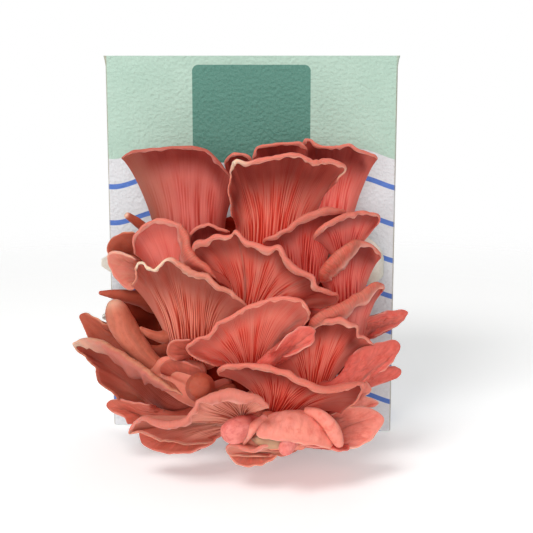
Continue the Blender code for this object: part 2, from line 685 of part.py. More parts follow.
def build_carton():
    material = plain_material("printed_board", (0.62, 0.74, 0.66), 0.6)
    carton = place("carton", outer_shell(), material)
    inside = box_mesh("inside_cut", (-CARTON_WIDTH / 2.0 + BOARD, -CARTON_DEPTH / 2.0 + BOARD, BOARD),
                      (CARTON_WIDTH / 2.0 - BOARD, CARTON_DEPTH / 2.0 - BOARD, CARTON_HEIGHT - BOARD))
    window = prism("window_cut", stadium(WINDOW_HALF_WIDTH, WINDOW_HALF_HEIGHT, 5.0),
                   FACE_Y - 5.0, FACE_Y + 5.0, WINDOW_HEIGHT)
    combine(carton, helper("inside_cut", inside), "DIFFERENCE")
    combine(carton, helper("window_cut", window), "DIFFERENCE")
    combine(carton, helper("flap_right_add", flap_mesh("flap_right_add", 1.0, RIGHT_FLAP)), "UNION")
    combine(carton, helper("flap_left_add", flap_mesh("flap_left_add", -1.0, LEFT_FLAP)), "UNION")


BLOCK_ROOM = BOARD + 0.5
BLOCK_HEADROOM = 4.0
BLOCK_ROUNDING = 6.0


def build_block():
    """The bagged block of straw that fills the carton and feeds the cluster."""
    half_width = CARTON_WIDTH / 2.0 - BLOCK_ROOM
    half_depth = CARTON_DEPTH / 2.0 - BLOCK_ROOM
    top = CARTON_HEIGHT - BLOCK_ROOM - BLOCK_HEADROOM
    mesh = box_mesh("substrate_block", (-half_width, -half_depth, BLOCK_ROOM),
                    (half_width, half_depth, top))
    mesh.materials.append(plain_material("substrate", (0.45, 0.34, 0.20), 0.8))
    item = bpy.data.objects.new("substrate_block", mesh)
    bpy.context.scene.collection.objects.link(item)
    edge = item.modifiers.new("rounding", "BEVEL")
    edge.width = BLOCK_ROUNDING * 0.001
    edge.segments = 2


# a scrap of the bag's film that hangs out below the left flap: centre as (across,
# distance in front of the face, height), then half its width there
FILM = [
    ((-31.0, -1.2, 84.1), 0.4), ((-37.0, 1.8, 84.0), 0.6), ((-49.0, 5.0, 81.5), 2.4),
    ((-63.0, 7.5, 78.5), 3.4), ((-75.0, 9.5, 74.0), 4.6), ((-83.0, 11.5, 70.5), 3.4),
]
FILM_THICKNESS = 0.5
FILM_STEPS = 9


def build_film():
    line = smooth_curve([(*centre, half) for centre, half in FILM], FILM_STEPS)
    bm = bmesh.new()
    sections = []
    for i, (x, out, z, half) in enumerate(line):
        before = line[max(i - 1, 0)]
        after = line[min(i + 1, len(line) - 1)]
        ahead = unit(after[:2] - before[:2])
        across = np.array([ahead[1], -ahead[0]]) * FILM_THICKNESS / 2.0
        corners = ((across, -half), (across, half), (-across, half), (-across, -half))
        sections.append([bm.verts.new(point_m((x + shift[0], FACE_Y - out - shift[1], z + rise)))
                         for shift, rise in corners])
    for lower, upper in zip(sections, sections[1:]):
        for k in range(4):
            bm.faces.new((lower[k], lower[(k + 1) % 4], upper[(k + 1) % 4], upper[k]))
    bm.faces.new(sections[0])
    bm.faces.new(list(reversed(sections[-1])))
    bmesh.ops.recalc_face_normals(bm, faces=bm.faces)
    place("bag_film", bm, plain_material("film", (0.80, 0.79, 0.74), 0.35))


LOBE_SIDES = 11
LOBE_RINGS = 6


def lobe_solid(centre, half):
    """One lobe of the trunk: an egg that is flat where it meets the carton's face."""
    bm = bmesh.new()
    rings = []
    for i in range(1, LOBE_RINGS):
        phi = math.pi * i / LOBE_RINGS
        ring = []
        for k in range(LOBE_SIDES):
            theta = 2 * math.pi * k / LOBE_SIDES
            x = centre[0] + half[0] * math.sin(phi) * math.cos(theta)
            y = centre[1] + half[1] * math.sin(phi) * math.sin(theta)
            z = centre[2] + half[2] * math.cos(phi)
            ring.append(bm.verts.new(point_m((x, min(y, FACE_Y - GAP), z))))
        rings.append(ring)
    top = bm.verts.new(point_m((centre[0], centre[1], centre[2] + half[2])))
    low = bm.verts.new(point_m((centre[0], centre[1], centre[2] - half[2])))
    for k in range(LOBE_SIDES):
        following = (k + 1) % LOBE_SIDES
        for upper, lower in zip(rings, rings[1:]):
            bm.faces.new((upper[k], lower[k], lower[following], upper[following]))
        bm.faces.new((top, rings[0][k], rings[0][following]))
        bm.faces.new((low, rings[-1][following], rings[-1][k]))
    bmesh.ops.recalc_face_normals(bm, faces=bm.faces)
    return bm


def build_trunk(cluster):
    """The fused foot of the cluster: lobes outside and a neck through the window."""
    centre, half = TRUNK_LOBES[0]
    material = flesh_material("cluster_trunk", "russet")
    trunk = place("cluster_trunk", lobe_solid(centre, half), material, centre, cluster)
    for number, lobe in enumerate(TRUNK_LOBES[1:]):
        name = "trunk_lobe_add_" + str(number)
        bm = lobe_solid(*lobe)
        mesh = bpy.data.meshes.new(name)
        bm.to_mesh(mesh)
        bm.free()
        combine(trunk, helper(name, mesh), "UNION")
    neck = prism("trunk_neck_add", stadium(NECK_HALF_WIDTH - 1.0, NECK_HALF_HEIGHT, 4.0),
                 FACE_Y - 9.0, FACE_Y + BOARD + 0.1, WINDOW_HEIGHT)
    combine(trunk, helper("trunk_neck_add", neck), "UNION")
    return trunk


# front to back: where two would touch, the later one gives way to the earlier
ORDER = [
    "mushroom_button",
    "mushroom_bottom_bud",
    "mushroom_bottom_left",
    "mushroom_bottom_centre",
    "mushroom_bottom_fan",
    "mushroom_lower_centre",
    "mushroom_centre_tongue",
    "mushroom_ball",
    "mushroom_left_lower",
    "mushroom_centre",
    "mushroom_right_spear_lower",
    "mushroom_right_diagonal",
    "mushroom_right_centre",
    "mushroom_left_inner_lobe",
    "mushroom_left_centre",
    "mushroom_left_small_lobe",
    "mushroom_left_stem",
    "mushroom_centre_upper",
    "mushroom_left_cup",
    "mushroom_right_rolled",
    "mushroom_right_lobe",
    "mushroom_right_upper",
    "mushroom_centre_peek",
    "mushroom_top_middle",
    "mushroom_top_left",
    "mushroom_top_right",
    "mushroom_top_back",
    "mushroom_top_gap",
    "mushroom_bottom_right",
    "mushroom_bottom_right_under",
    "mushroom_bottom_fan_under",
    "mushroom_bottom_left_under",
    "mushroom_right_spear_upper",
    "mushroom_right_spear_small",
    "mushroom_right_ruffle",
    "mushroom_left_bottom_lobe",
    "mushroom_left_back",
    "mushroom_left_inner_stem",
    "mushroom_far_left_upper",
    "mushroom_far_left_lower",
    "mushroom_left_finger",
    "mushroom_left_spur",
    "cluster_trunk",
]


def grown_copy(item):
    """A copy of a body, grown by the gap, to cut a neighbour clear of it."""
    bm = bmesh.new()
    bm.from_mesh(item.data)
    bm.normal_update()
    for vertex in bm.verts:
        vertex.co += vertex.normal * GROWTH * 0.001
    mesh = bpy.data.meshes.new(item.name + "_clearance")
    bm.to_mesh(mesh)
    bm.free()
    copy = helper(mesh.name, mesh)
    copy.parent = item.parent
    copy.location = item.location
    bpy.context.view_layer.update()
    return copy


def tree_of(item):
    bm = bmesh.new()
    bm.from_mesh(item.data)
    bm.transform(item.matrix_world)
    tree = BVHTree.FromBMesh(bm)
    bm.free()
    return tree


def settle(item):
    """The item's mesh with its modifiers worked in."""
    bpy.context.view_layer.update()
    graph = bpy.context.evaluated_depsgraph_get()
    settled = bpy.data.meshes.new_from_object(item.evaluated_get(graph))
    item.modifiers.clear()
    return settled


def cut_clear(item, cutter):
    """Cut the item by a grown neighbour, and keep only a whole and closed result."""
    before = item.data
    size = measure(before)[0]
    for crossing in (False, True):
        item.data = before
        combine(item, cutter, "DIFFERENCE", crossing)
        after = settle(item)
        keep_largest(after)
        left, closed = measure(after)
        if closed and left > size * KEPT_SHARE:
            item.data = after
            return
    item.data = before


def make_way(items):
    """Cut each body clear of the earlier ones that it would touch."""
    cutters = []
    for name in ORDER:
        item = items[name]
        item.data = settle(item)
        keep_largest(item.data)
        for cutter, tree in cutters:
            if tree.overlap(tree_of(item)):
                cut_clear(item, cutter)
        cutter = grown_copy(item)
        cutters.append((cutter, tree_of(cutter)))


def volume_of(faces):
    total = 0.0
    for face in faces:
        first = face.verts[0].co
        for a, b in zip(face.verts[1:], face.verts[2:]):
            total += first.dot(a.co.cross(b.co)) / 6.0
    return abs(total)


def measure(mesh):
    """Volume of a mesh, and whether every edge joins two faces."""
    bm = bmesh.new()
    bm.from_mesh(mesh)
    volume = volume_of(bm.faces)
    closed = len(bm.faces) > 0 and all(len(edge.link_faces) == 2 for edge in bm.edges)
    bm.free()
    return volume, closed


def keep_largest(mesh):
    """Drop the crumbs that cuts leave, so that one body stays."""
    bm = bmesh.new()
    bm.from_mesh(mesh)
    bm.verts.ensure_lookup_table()
    seen = set()
    groups = []
    for vertex in bm.verts:
        if vertex in seen:
            continue
        group = [vertex]
        seen.add(vertex)
        for member in group:
            for link in member.link_edges:
                other = link.other_vert(member)
                if other not in seen:
                    seen.add(other)
                    group.append(other)
        faces = {face for member in group for face in member.link_faces}
        groups.append((volume_of(faces), len(groups), group))
    groups.sort(key=lambda entry: entry[:2])
    crumbs = [vertex for entry in groups[:-1] for vertex in entry[2]]
    bmesh.ops.delete(bm, geom=crumbs, context="VERTS")
    bmesh.ops.triangulate(bm, faces=bm.faces)
    bmesh.ops.recalc_face_normals(bm, faces=bm.faces)
    bm.to_mesh(mesh)
    bm.free()


def build_fans(cluster):
    items = {}
    for spec in FANS:
        net, halves = fan_rows(spec)
        normal = surface_normals(net)
        lip, lip_normal = lip_row(net, normal, spec)
        net = np.concatenate([net, lip[None]])
        normal = np.concatenate([normal, lip_normal[None]])
        halves.append((EDGE_HALF_THICKNESS * 0.8, 7.0))
        body = sheet_solid(net, normal, halves)
        material = flesh_material(spec["name"], spec["tone"])
        items[spec["name"]] = place(spec["name"], body, material, sight(*spec["neck"]), cluster)
    return items


def build_fingers(cluster):
    items = {}
    for spec in FINGERS:
        column, row, out, radius = spec["path"][0]
        material = flesh_material(spec["name"], spec["tone"])
        body = finger_solid(spec)
        items[spec["name"]] = place(spec["name"], body, material, sight(column, row, out), cluster)
    return items


def main():
    remove_everything()
    build_carton()
    build_block()
    build_film()
    cluster = anchor("cluster", (0.0, FACE_Y, WINDOW_HEIGHT))
    items = build_fans(cluster)
    items.update(build_fingers(cluster))
    items["cluster_trunk"] = build_trunk(cluster)
    make_way(items)


main()
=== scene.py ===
import math

import bmesh
import bpy
import numpy as np
from mathutils import Matrix


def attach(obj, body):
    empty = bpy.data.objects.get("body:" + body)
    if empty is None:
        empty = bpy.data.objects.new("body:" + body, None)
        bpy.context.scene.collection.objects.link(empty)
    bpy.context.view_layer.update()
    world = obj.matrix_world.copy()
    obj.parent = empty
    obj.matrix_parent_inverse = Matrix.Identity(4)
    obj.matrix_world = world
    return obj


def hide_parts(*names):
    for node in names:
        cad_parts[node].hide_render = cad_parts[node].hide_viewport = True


# Looks of the mushroom grow kit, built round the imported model's frame.
# X is to the right seen from the front, the carton's front faces -Y, Z is up.
# Lengths are millimetres here and become metres when a mesh is made.

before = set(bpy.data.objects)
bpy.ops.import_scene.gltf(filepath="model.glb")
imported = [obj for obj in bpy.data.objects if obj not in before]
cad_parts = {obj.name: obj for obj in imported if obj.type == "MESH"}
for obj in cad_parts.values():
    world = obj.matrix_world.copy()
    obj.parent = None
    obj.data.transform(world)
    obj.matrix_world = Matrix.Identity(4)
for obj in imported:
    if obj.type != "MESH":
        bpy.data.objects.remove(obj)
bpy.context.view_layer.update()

MM = 0.001

# the carton, as in the model
CARTON_WIDTH = 165.0
CARTON_DEPTH = 105.0
CARTON_HEIGHT = 218.0
BOARD = 1.5
CARTON_CORNER = 1.0
TOP_FLARE = 1.2
TOP_FLARE_HEIGHT = 6.0
WINDOW_HALF_WIDTH = 44.0
WINDOW_HALF_HEIGHT = 15.0
WINDOW_HEIGHT = 98.0
WINDOW_CORNER = 5.0
FLAP_THICKNESS = 0.9
FACE_Y = -CARTON_DEPTH / 2.0

# the fused trunk's main lobes, as in the model (centre, then half sizes), the lobes of
# its neck through the window, and the gap between the trunk and a stem
TRUNK_LOBES = [
    ((0.0, FACE_Y - 8.0, 94.0), (40.0, 14.0, 18.0)),
    ((6.0, FACE_Y - 15.0, 66.0), (38.0, 17.0, 28.0)),
    ((12.0, FACE_Y - 34.0, 40.0), (32.0, 17.0, 18.0)),
]
NECK_LOBE = (9.0, 5.0, 13.0)
NECK_REACH = 32
NECK_SPACING = 8
GAP = 0.35

# the photograph's point of view
VIEW_FROM = (54.3, -678.2, 209.0)
VIEW_YAW = 4.12
VIEW_PITCH = -10.03
VIEW_ROLL = -0.04
VIEW_FOCAL = 1100.0
VIEW_SIZE = 533.0
VIEW_CENTRE = VIEW_SIZE / 2.0
SENSOR = 36.0


def unit(vector):
    vector = np.asarray(vector, dtype=float)
    size = np.linalg.norm(vector, axis=-1, keepdims=True)
    return vector / np.maximum(size, 1e-9)


def smooth_step(value, low, high):
    x = np.clip((value - low) / (high - low), 0.0, 1.0)
    return x * x * (3.0 - 2.0 * x)


def view_axes():
    """Columns are the view's right, forward and up."""
    yaw = math.radians(VIEW_YAW)
    pitch = math.radians(VIEW_PITCH)
    roll = math.radians(VIEW_ROLL)
    turn = np.array([
        [math.cos(yaw), -math.sin(yaw), 0.0],
        [math.sin(yaw), math.cos(yaw), 0.0],
        [0.0, 0.0, 1.0],
    ])
    nod = np.array([
        [1.0, 0.0, 0.0],
        [0.0, math.cos(pitch), -math.sin(pitch)],
        [0.0, math.sin(pitch), math.cos(pitch)],
    ])
    lean = np.array([
        [math.cos(roll), 0.0, math.sin(roll)],
        [0.0, 1.0, 0.0],
        [-math.sin(roll), 0.0, math.cos(roll)],
    ])
    return turn @ nod @ lean


AXES = view_axes()
EYE = np.array(VIEW_FROM)


def sight(column, row, out):
    """The point seen at a photo position that lies `out` in front of the face."""
    ray = AXES @ np.array([
        (column - VIEW_CENTRE) / VIEW_FOCAL,
        1.0,
        (VIEW_CENTRE - row) / VIEW_FOCAL,
    ])
    reach = (FACE_Y - out - EYE[1]) / ray[1]
    return EYE + ray * reach


def add(name, data):
    """A new object in the scene."""
    item = bpy.data.objects.new(name, data)
    bpy.context.scene.collection.objects.link(item)
    return item


def looking(right, forward, up):
    """The turn of a camera or a light that looks forward."""
    return Matrix([[right[i], up[i], -forward[i]] for i in range(3)])


def build_camera():
    data = bpy.data.cameras.new("view")
    data.sensor_width = SENSOR
    data.lens = VIEW_FOCAL / VIEW_SIZE * SENSOR
    data.clip_start = 0.01
    camera = add("view", data)
    turn = looking(*AXES.T).to_4x4()
    turn.translation = EYE * MM
    camera.matrix_world = turn
    bpy.context.scene.camera = camera


def linear(code):
    """Linear colour of a plain six-digit colour code."""
    values = [int(code[i:i + 2], 16) / 255.0 for i in (0, 2, 4)]
    return [v / 12.92 if v <= 0.04045 else ((v + 0.055) / 1.055) ** 2.4 for v in values] + [1.0]


class Paint:
    """A material's nodes, with short calls for the sums that the finishes share."""

    def __init__(self, name):
        self.material = bpy.data.materials.new(name)
        self.material.use_nodes = True
        self.nodes = self.material.node_tree.nodes
        self.links = self.material.node_tree.links
        self.shader = self.nodes["Principled BSDF"]

    def feed(self, socket, value):
        if isinstance(value, bpy.types.NodeSocket):
            self.links.new(value, socket)
        else:
            socket.default_value = value

    def node(self, kind, inputs, **settings):
        """A new node, with its settings and what goes into its sockets."""
        node = self.nodes.new("ShaderNode" + kind)
        for key, value in settings.items():
            setattr(node, key, value)
        for socket, value in inputs.items():
            self.feed(node.inputs[socket], value)
        return node

    def math(self, operation, first, second=0.0):
        return self.node("Math", {0: first, 1: second}, operation=operation).outputs[0]

    def plus(self, first, second):
        return self.math("ADD", first, second)

    def minus(self, first, second):
        return self.math("SUBTRACT", first, second)

    def times(self, first, second):
        return self.math("MULTIPLY", first, second)

    def size(self, value):
        return self.math("ABSOLUTE", value)

    def distance(self, first, second):
        squares = [self.math("POWER", value, 2.0) for value in (first, second)]
        return self.math("SQRT", self.plus(*squares))

    def step(self, value, low, high, start=0.0, end=1.0):
        """A smooth change from start to end while the value goes from low to high."""
        inputs = {"Value": value, "From Min": low, "From Max": high, "To Min": start, "To Max": end}
        return self.node("MapRange", inputs, interpolation_type="SMOOTHSTEP").outputs["Result"]

    def below(self, value, limit, blur):
        """1 where the value is under its limit and 0 above it, with a soft edge."""
        return self.step(value, limit + blur, limit - blur)

    def mix(self, factor, first, second):
        return self.node("Mix", {"Factor": factor, 6: first, 7: second}, data_type="RGBA").outputs[2]

    def between(self, factor, codes):
        return self.mix(factor, *[linear(code) for code in codes])

    def lay(self, colour, base, value, low, high, strength=1.0):
        """A base with a colour over it, from none up to its strength as the value rises."""
        return self.mix(self.step(value, low, high, 0.0, strength), base, colour)

    def value(self, name):
        return self.node("Attribute", {}, attribute_name=name).outputs["Fac"]

    def place(self, name="", stretch=(1.0, 1.0, 1.0)):
        """A UV map's coordinates, stretched, or the object's own."""
        if name:
            source = self.node("UVMap", {}, uv_map=name).outputs["UV"]
        else:
            source = self.node("TexCoord", {}).outputs["Object"]
        return self.node("Mapping", {"Vector": source, "Scale": stretch}).outputs["Vector"]

    def parts(self, vector):
        return self.node("SeparateXYZ", {0: vector}).outputs

    def noise(self, vector, scale, detail=3.0, roughness=0.55):
        inputs = {"Vector": vector, "Scale": scale, "Detail": detail, "Roughness": roughness}
        return self.node("TexNoise", inputs).outputs["Fac"]

    def bump(self, height, distance, strength=1.0, under=None):
        node = self.node("Bump", {"Height": height, "Distance": distance, "Strength": strength})
        if under is not None:
            self.links.new(under, node.inputs["Normal"])
        return node.outputs["Normal"]

    def finish(self, colour, roughness, normal=None, specular=0.5):
        self.feed(self.shader.inputs["Base Color"], colour)
        self.shader.inputs["Roughness"].default_value = roughness
        self.shader.inputs["Specular IOR Level"].default_value = specular
        if normal is not None:
            self.links.new(normal, self.shader.inputs["Normal"])
        return self.material


# flesh colours: the gills' dark band under the margin, which is painted shade, their bright
# middle and their deep inner part, the hollows between them, painted darker as shade, the
# margin's fine lip, the cap's skin, and the skin of a wide brownish roll
FLESH = {
    "coral": ("640A05", "FF8074", "E83E30", "B42010", "F6A696", "DC7A6A", "B4644F"),
    "pink": ("741006", "E2766A", "C8463A", "9C2216", "DE8E82", "BC6456", "B4644F"),
    "shell": ("A04C38", "D8927C", "BE6850", "9C4030", "EC9E90", "D67E6E", "CE7466"),
    "bud": ("A03C30", "EC9288", "C8524A", "A8362A", "FFBEAC", "DA7A70", "D88270"),
    "beige": ("8A5A40", "C49C7C", "AA7E60", "7A4A32", "DCB89A", "C2987C", "C2987C"),
    "clay": ("80240F", "CC745C", "9E4832", "6C1C0C", "ECB49A", "BA6C56", "DC9A7C"),
    "flame": ("6E0E08", "FF9480", "FA5440", "CC2E1C", "FFAE9A", "DE7868", "B4644F"),
    # its gill-side colours are painted shade, for an underside that faces down; its skin and felt are its
    # own colour
    "tan": ("7A2210", "A84834", "943A28", "641608", "C06C5E", "C88066", "D08C70"),
    "rose": ("A03426", "E87466", "CC5042", "962414", "F09C8E", "D4685C", "BE6656"),
    "blush": ("A84438", "F69C8A", "DC6E5E", "A02C1E", "FFBEAC", "E88E7E", "D88270"),
    "russet": ("76140A", "F2967E", "DA563E", "98220F", "F2AE9A", "D6826F", "B66C54"),
    # a darker copy of russet: partly the pieces' own browner flesh and partly painted shade
    "umber": ("80240F", "B85A44", "9C3C28", "6A180A", "F0AC8C", "AE5844", "DC9A7C"),
    "ember": ("8E2C1C", "D06A58", "B84C3A", "7E2010", "E8988A", "BA6250", "B06050"),
    # all painted shade: flesh deep in the cluster, dark red in its middle
    "hollow": ("601006", "7A180A", "701206", "500C04", "8A3020", "74160A", "7A2C1C"),
}
SMOOTH_TONES = ("rose", "blush", "bud")
PALE = "F4CBB0"
BROWN_SIDE = "A2604C"
# the trunk's sides, painted shade in dark brown
HOLLOW_SIDES = ("7E2818", "5A1408")
# the flesh's grain, as repeats across and down for each 100 mm
FIBRES = (60.0, 2.5, 1.0)
SMOOTH_FIBRES = (40.0, 14.0, 1.0)
HAIRS = (130.0, 6.0, 1.0)
PATCHES = (11.0, 2.4, 1.0)
# how far light travels in the flesh, in metres, and red, green and blue as shares of that
FLESH_DEPTH = 0.0040
FLESH_SPREAD = (1.0, 0.25, 0.15)


class Flesh(Paint):
    """Moist matt flesh: gills on one side, felted skin and a paler margin on the other."""

    def __init__(self, tone):
        super().__init__(tone + "_flesh")
        self.tone = tone
        self.smooth = tone in SMOOTH_TONES
        colours = [linear(code) for code in FLESH[tone]]
        self.under, self.middle, self.deep, self.hollow, self.lip, self.skin, self.felt = colours
        self.reach, self.shade, self.flank = [self.value(name) for name in ("reach", "shade", "flank")]
        self.edged = self.value("lip")
        self.mottle = self.noise(self.place(), 300.0, 3.0, 0.6)
        self.speckle = self.noise(self.place(), 900.0, 2.0)
        self.fibres = self.noise(self.place("sheet", SMOOTH_FIBRES if self.smooth else FIBRES), 1.0, 4.0)
        self.hairs = self.noise(self.place("sheet", HAIRS), 1.0, 3.0, 0.6)
        self.patches = self.noise(self.place("sheet", PATCHES), 1.0, 2.5)
        # the margin turns from skin to its paler lip towards the roll's end: partly the margin's own paler
        # edge and partly painted light where the roll faces the light
        rim = self.lay(self.lip, self.skin, self.reach, 1.30, 1.85)
        self.rim = self.lay(self.skin, rim, self.patches, 0.35, 0.70, 0.45)

    def gills(self):
        """Colour of the side with gills: painted shade in the hollows and in the dark band under the
        margin, and bright blades whose edges carry a painted highlight.
        """
        blade = self.lay(self.middle, self.deep, self.reach, 0.0, 0.28)
        blade = self.lay(self.deep, blade, self.patches, 0.38, 0.66, 0.75)
        blade = self.lay(self.deep, blade, self.fibres, 0.46, 0.66, 0.60)
        # painted highlight: the gills' edges are paler where they catch the light
        blade = self.lay(self.lip, blade, self.shade, 0.70, 1.0, 0.42)
        # the faded sides mix the skin with the dark band's colour: partly their own paler skin and partly
        # painted shade
        blade = self.mix(self.times(self.flank, 0.55), blade, self.mix(0.42, self.skin, self.under))
        if self.tone == "pink":
            across = self.parts(self.place("sheet"))[0]
            blade = self.lay(linear(BROWN_SIDE), blade, across, 0.36, 0.04, 0.75)
            # painted shade down the fan's right side
            blade = self.lay(self.deep, blade, across, 0.95, 1.20, 0.45)
        # painted shade in the hollows between the gills
        gills = self.lay(self.hollow, blade, self.shade, 0.95, 0.25, 0.95)
        # painted shade: the dark band under the margin, where the margin shades the gills
        painted_shade = self.times(self.value("dark"), self.step(self.shade, 1.0, 0.3, 0.90, 1.0))
        painted_shade = self.times(painted_shade, self.step(self.patches, 0.75, 0.35, 0.82, 1.0))
        painted_shade = self.times(painted_shade, self.step(self.flank, 0.0, 1.0, 1.0, 0.35))
        gills = self.mix(painted_shade, gills, self.under)
        return self.mix(self.times(self.step(self.reach, 1.02, 1.2), self.edged), gills, self.rim)

    def cap(self):
        """Colour of the skin side, and of a wide roll's worn felt."""
        top = self.lay(self.middle, self.skin, self.fibres, 0.30, 0.72)
        top = self.lay(self.deep, top, self.patches, 0.40, 0.80, 0.30)
        top = self.lay(self.deep, top, self.mottle, 0.46, 0.72, 0.60 if self.smooth else 0.30)
        streaks = self.lay(self.skin, self.felt, self.hairs, 0.32, 0.68, 0.75)
        streaks = self.lay(self.deep, streaks, self.mottle, 0.35, 0.65, 0.30)
        low, high = (1.26, 1.42) if self.tone == "tan" else (1.70, 1.95)
        worn = self.lay(self.lip, streaks, self.reach, low, high)
        lipped = self.mix(self.value("fold"), self.rim, worn)
        return self.mix(self.times(self.step(self.reach, 0.92, 1.08), self.edged), top, lipped)

    def made(self):
        """The finished material, with a fine grain."""
        colour = self.mix(self.value("skin"), self.gills(), self.cap())
        # on the trunk, the painted shade turns browner towards its sides
        if self.tone == "hollow":
            sides = self.between(self.step(self.patches, 0.35, 0.7), HOLLOW_SIDES)
            colour = self.mix(self.flank, colour, sides)
        cream = self.times(self.value("pale"), self.step(self.reach, 0.98, 1.25))
        colour = self.mix(cream, colour, linear(PALE))
        grain = self.bump(self.hairs, 0.0004, 0.45, self.bump(self.speckle, 0.0003, 0.35))
        self.shader.inputs["Subsurface Weight"].default_value = 0.45
        self.shader.inputs["Subsurface Radius"].default_value = FLESH_SPREAD
        self.shader.inputs["Subsurface Scale"].default_value = FLESH_DEPTH
        gloss = 0.02 if self.tone == "hollow" else 0.12
        return self.finish(colour, 0.50, self.bump(self.fibres, 0.0005, 0.25, grain), gloss)


# steps of a smooth curve from one of its points to the next
CURVE_STEPS = 16


class Margin:
    """A smooth curve through a margin's points, read by its share of the length."""

    def __init__(self, points):
        points = np.asarray(points, dtype=float)
        ends = np.vstack([2 * points[0] - points[1], points, 2 * points[-1] - points[-2]])
        u = np.arange(CURVE_STEPS)[:, None] / CURVE_STEPS
        stretches = []
        for a, b, c, d in zip(ends, ends[1:], ends[2:], ends[3:]):
            stretches.append(0.5 * (2 * b + (c - a) * u + (2 * a - 5 * b + 4 * c - d) * u ** 2
                                    + (3 * b - a - 3 * c + d) * u ** 3))
        self.dense = np.vstack(stretches + [points[-1:]])
        steps = np.linalg.norm(np.diff(self.dense[:, :3], axis=0), axis=1)
        self.length = np.concatenate([[0.0], np.cumsum(steps)])

    def at(self, share):
        wanted = np.clip(share, 0.0, 1.0) * self.length[-1]
        values = [np.interp(wanted, self.length, column) for column in self.dense.T]
        return np.stack(values, axis=-1)


def waves(rng, place, count, slow, fast):
    """A smooth random ripple between about -1 and 1, as a sum of a few sines."""
    total = 0.0
    for _ in range(count):
        rate = slow + (fast - slow) * rng.random()
        total = total + np.sin(rate * place * math.tau + rng.random() * math.tau)
    return total / math.sqrt(count)


def smoothed(rows, width):
    """Values along a margin, averaged over a bell-shaped stretch of that many columns."""
    reach = max(1, int(width * 2.0))
    bell = np.exp(-0.5 * (np.arange(-reach, reach + 1) / max(width, 0.5)) ** 2)
    bell /= bell.sum()
    first, last = [np.repeat(end, reach, axis=0) for end in (rows[:1], rows[-1:])]
    long = np.concatenate([first, rows, last])
    return np.stack([np.convolve(column, bell, mode="valid") for column in long.T], axis=-1)


def in_trunk(spot):
    return any(np.sum(((spot - np.array(centre)) / np.array(half)) ** 2) < 1.0
               for centre, half in TRUNK_LOBES)


def trunk_root(neck, radius):
    """Where a stem that leads to the neck leaves the trunk, a little outside it, and which way."""
    centres = np.array([centre for centre, half in TRUNK_LOBES])
    target = centres[np.argmin(np.linalg.norm(neck - centres, axis=1))]
    line = neck - target
    reach = 1.0
    while reach > 0.0 and not in_trunk(target + line * reach):
        reach -= 0.01
    away = unit(line)
    return target + line * reach + away * (GAP + radius * 0.5), away


def bezier(a, b, c, d, s):
    return (1 - s) ** 3 * a + 3 * (1 - s) ** 2 * s * b + 3 * (1 - s) * s * s * c + s ** 3 * d


def gradient_normals(net):
    along = np.gradient(net, axis=0)
    side = np.gradient(net, axis=1)
    return unit(np.cross(along, side))


def quads(index):
    corners = (index[:-1, :-1], index[:-1, 1:], index[1:, 1:], index[1:, :-1])
    return np.stack([corner.reshape(-1) for corner in corners], axis=1).tolist()


def fringe(fine, coarse):
    """Triangles between a fine row and a coarse one that share their first and last point."""
    faces = []
    step = (len(fine) - 1) // (len(coarse) - 1)
    for k in range(len(coarse) - 1):
        run = [int(index) for index in fine[k * step:(k + 1) * step + 1]]
        first, second = int(coarse[k]), int(coarse[k + 1])
        half = step // 2
        faces += [[run[i], run[i + 1], first] for i in range(half)]
        faces.append([run[half], second, first])
        faces += [[run[i], run[i + 1], second] for i in range(half, step)]
    return [face for face in faces if len(set(face)) == 3]


def both(first, second, size=()):
    """Two nets' points or values as one list."""
    return np.concatenate([np.asarray(net).reshape(-1, *size) for net in (first, second)])


# a millimetre on a map, whose unit is 100 mm
MAP_UNIT = 0.01


def mark(mesh, key, numbers):
    """A number for each of a mesh's points, which a finish reads."""
    attribute = mesh.attributes.new(key, "FLOAT", "POINT")
    attribute.data.foreach_set("value", np.asarray(numbers, dtype=np.float32))


def make_mesh(name, points, faces, values=None, sheet=None):
    """A smooth-shaded object from points in millimetres, with its values and its map."""
    used = np.unique(np.concatenate([np.asarray(face) for face in faces]))
    place = np.full(len(points), -1)
    place[used] = np.arange(len(used))
    mesh = bpy.data.meshes.new(name)
    kept = [[int(place[index]) for index in face] for face in faces]
    mesh.from_pydata((points[used] * MM).tolist(), [], kept)
    for key, numbers in (values or {}).items():
        mark(mesh, key, numbers[used])
    if sheet is not None:
        corner = np.zeros(len(mesh.loops), dtype=np.int32)
        mesh.loops.foreach_get("vertex_index", corner)
        layer = mesh.uv_layers.new(name="sheet")
        flat = np.asarray(sheet, dtype=np.float32)[used][corner]
        layer.data.foreach_set("uv", flat.reshape(-1))
    mesh.shade_smooth()
    mesh.validate()
    return add(name, mesh)


def thin_sheet(name, front, back):
    """A closed thin sheet between two nets of points."""
    index = np.arange(front[..., 0].size).reshape(front.shape[:2])
    other = index + index.size
    faces = quads(index) + quads(other[:, ::-1])
    for near, far in ((index[0], other[0]), (index[-1][::-1], other[-1][::-1]),
                      (index[:, 0][::-1], other[:, 0][::-1]), (index[:, -1], other[:, -1])):
        faces += quads(np.stack([far, near]))
    return make_mesh(name, both(front, back, (3,)), faces)


def dress(item, material, node):
    """Give a piece its finish, let it ride, and let it stand for its node."""
    item.data.materials.clear()
    item.data.materials.append(material)
    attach(item, "root")
    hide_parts(node)


# rows down a fan's stem, its cap and its turned margin; the gills' spacing, the least
# of them and the columns for each; how many of those share one column of the far side;
# and how many points of the margin say where the fan lies
STEM_ROWS = 6
CAP_ROWS = 28
ROLL_ROWS = 9
GILL_SPACING = 1.05
LEAST_GILLS = 8
COLUMNS_PER_GILL = 4
FAR_STEP = 4
MARGIN_SAMPLES = 41

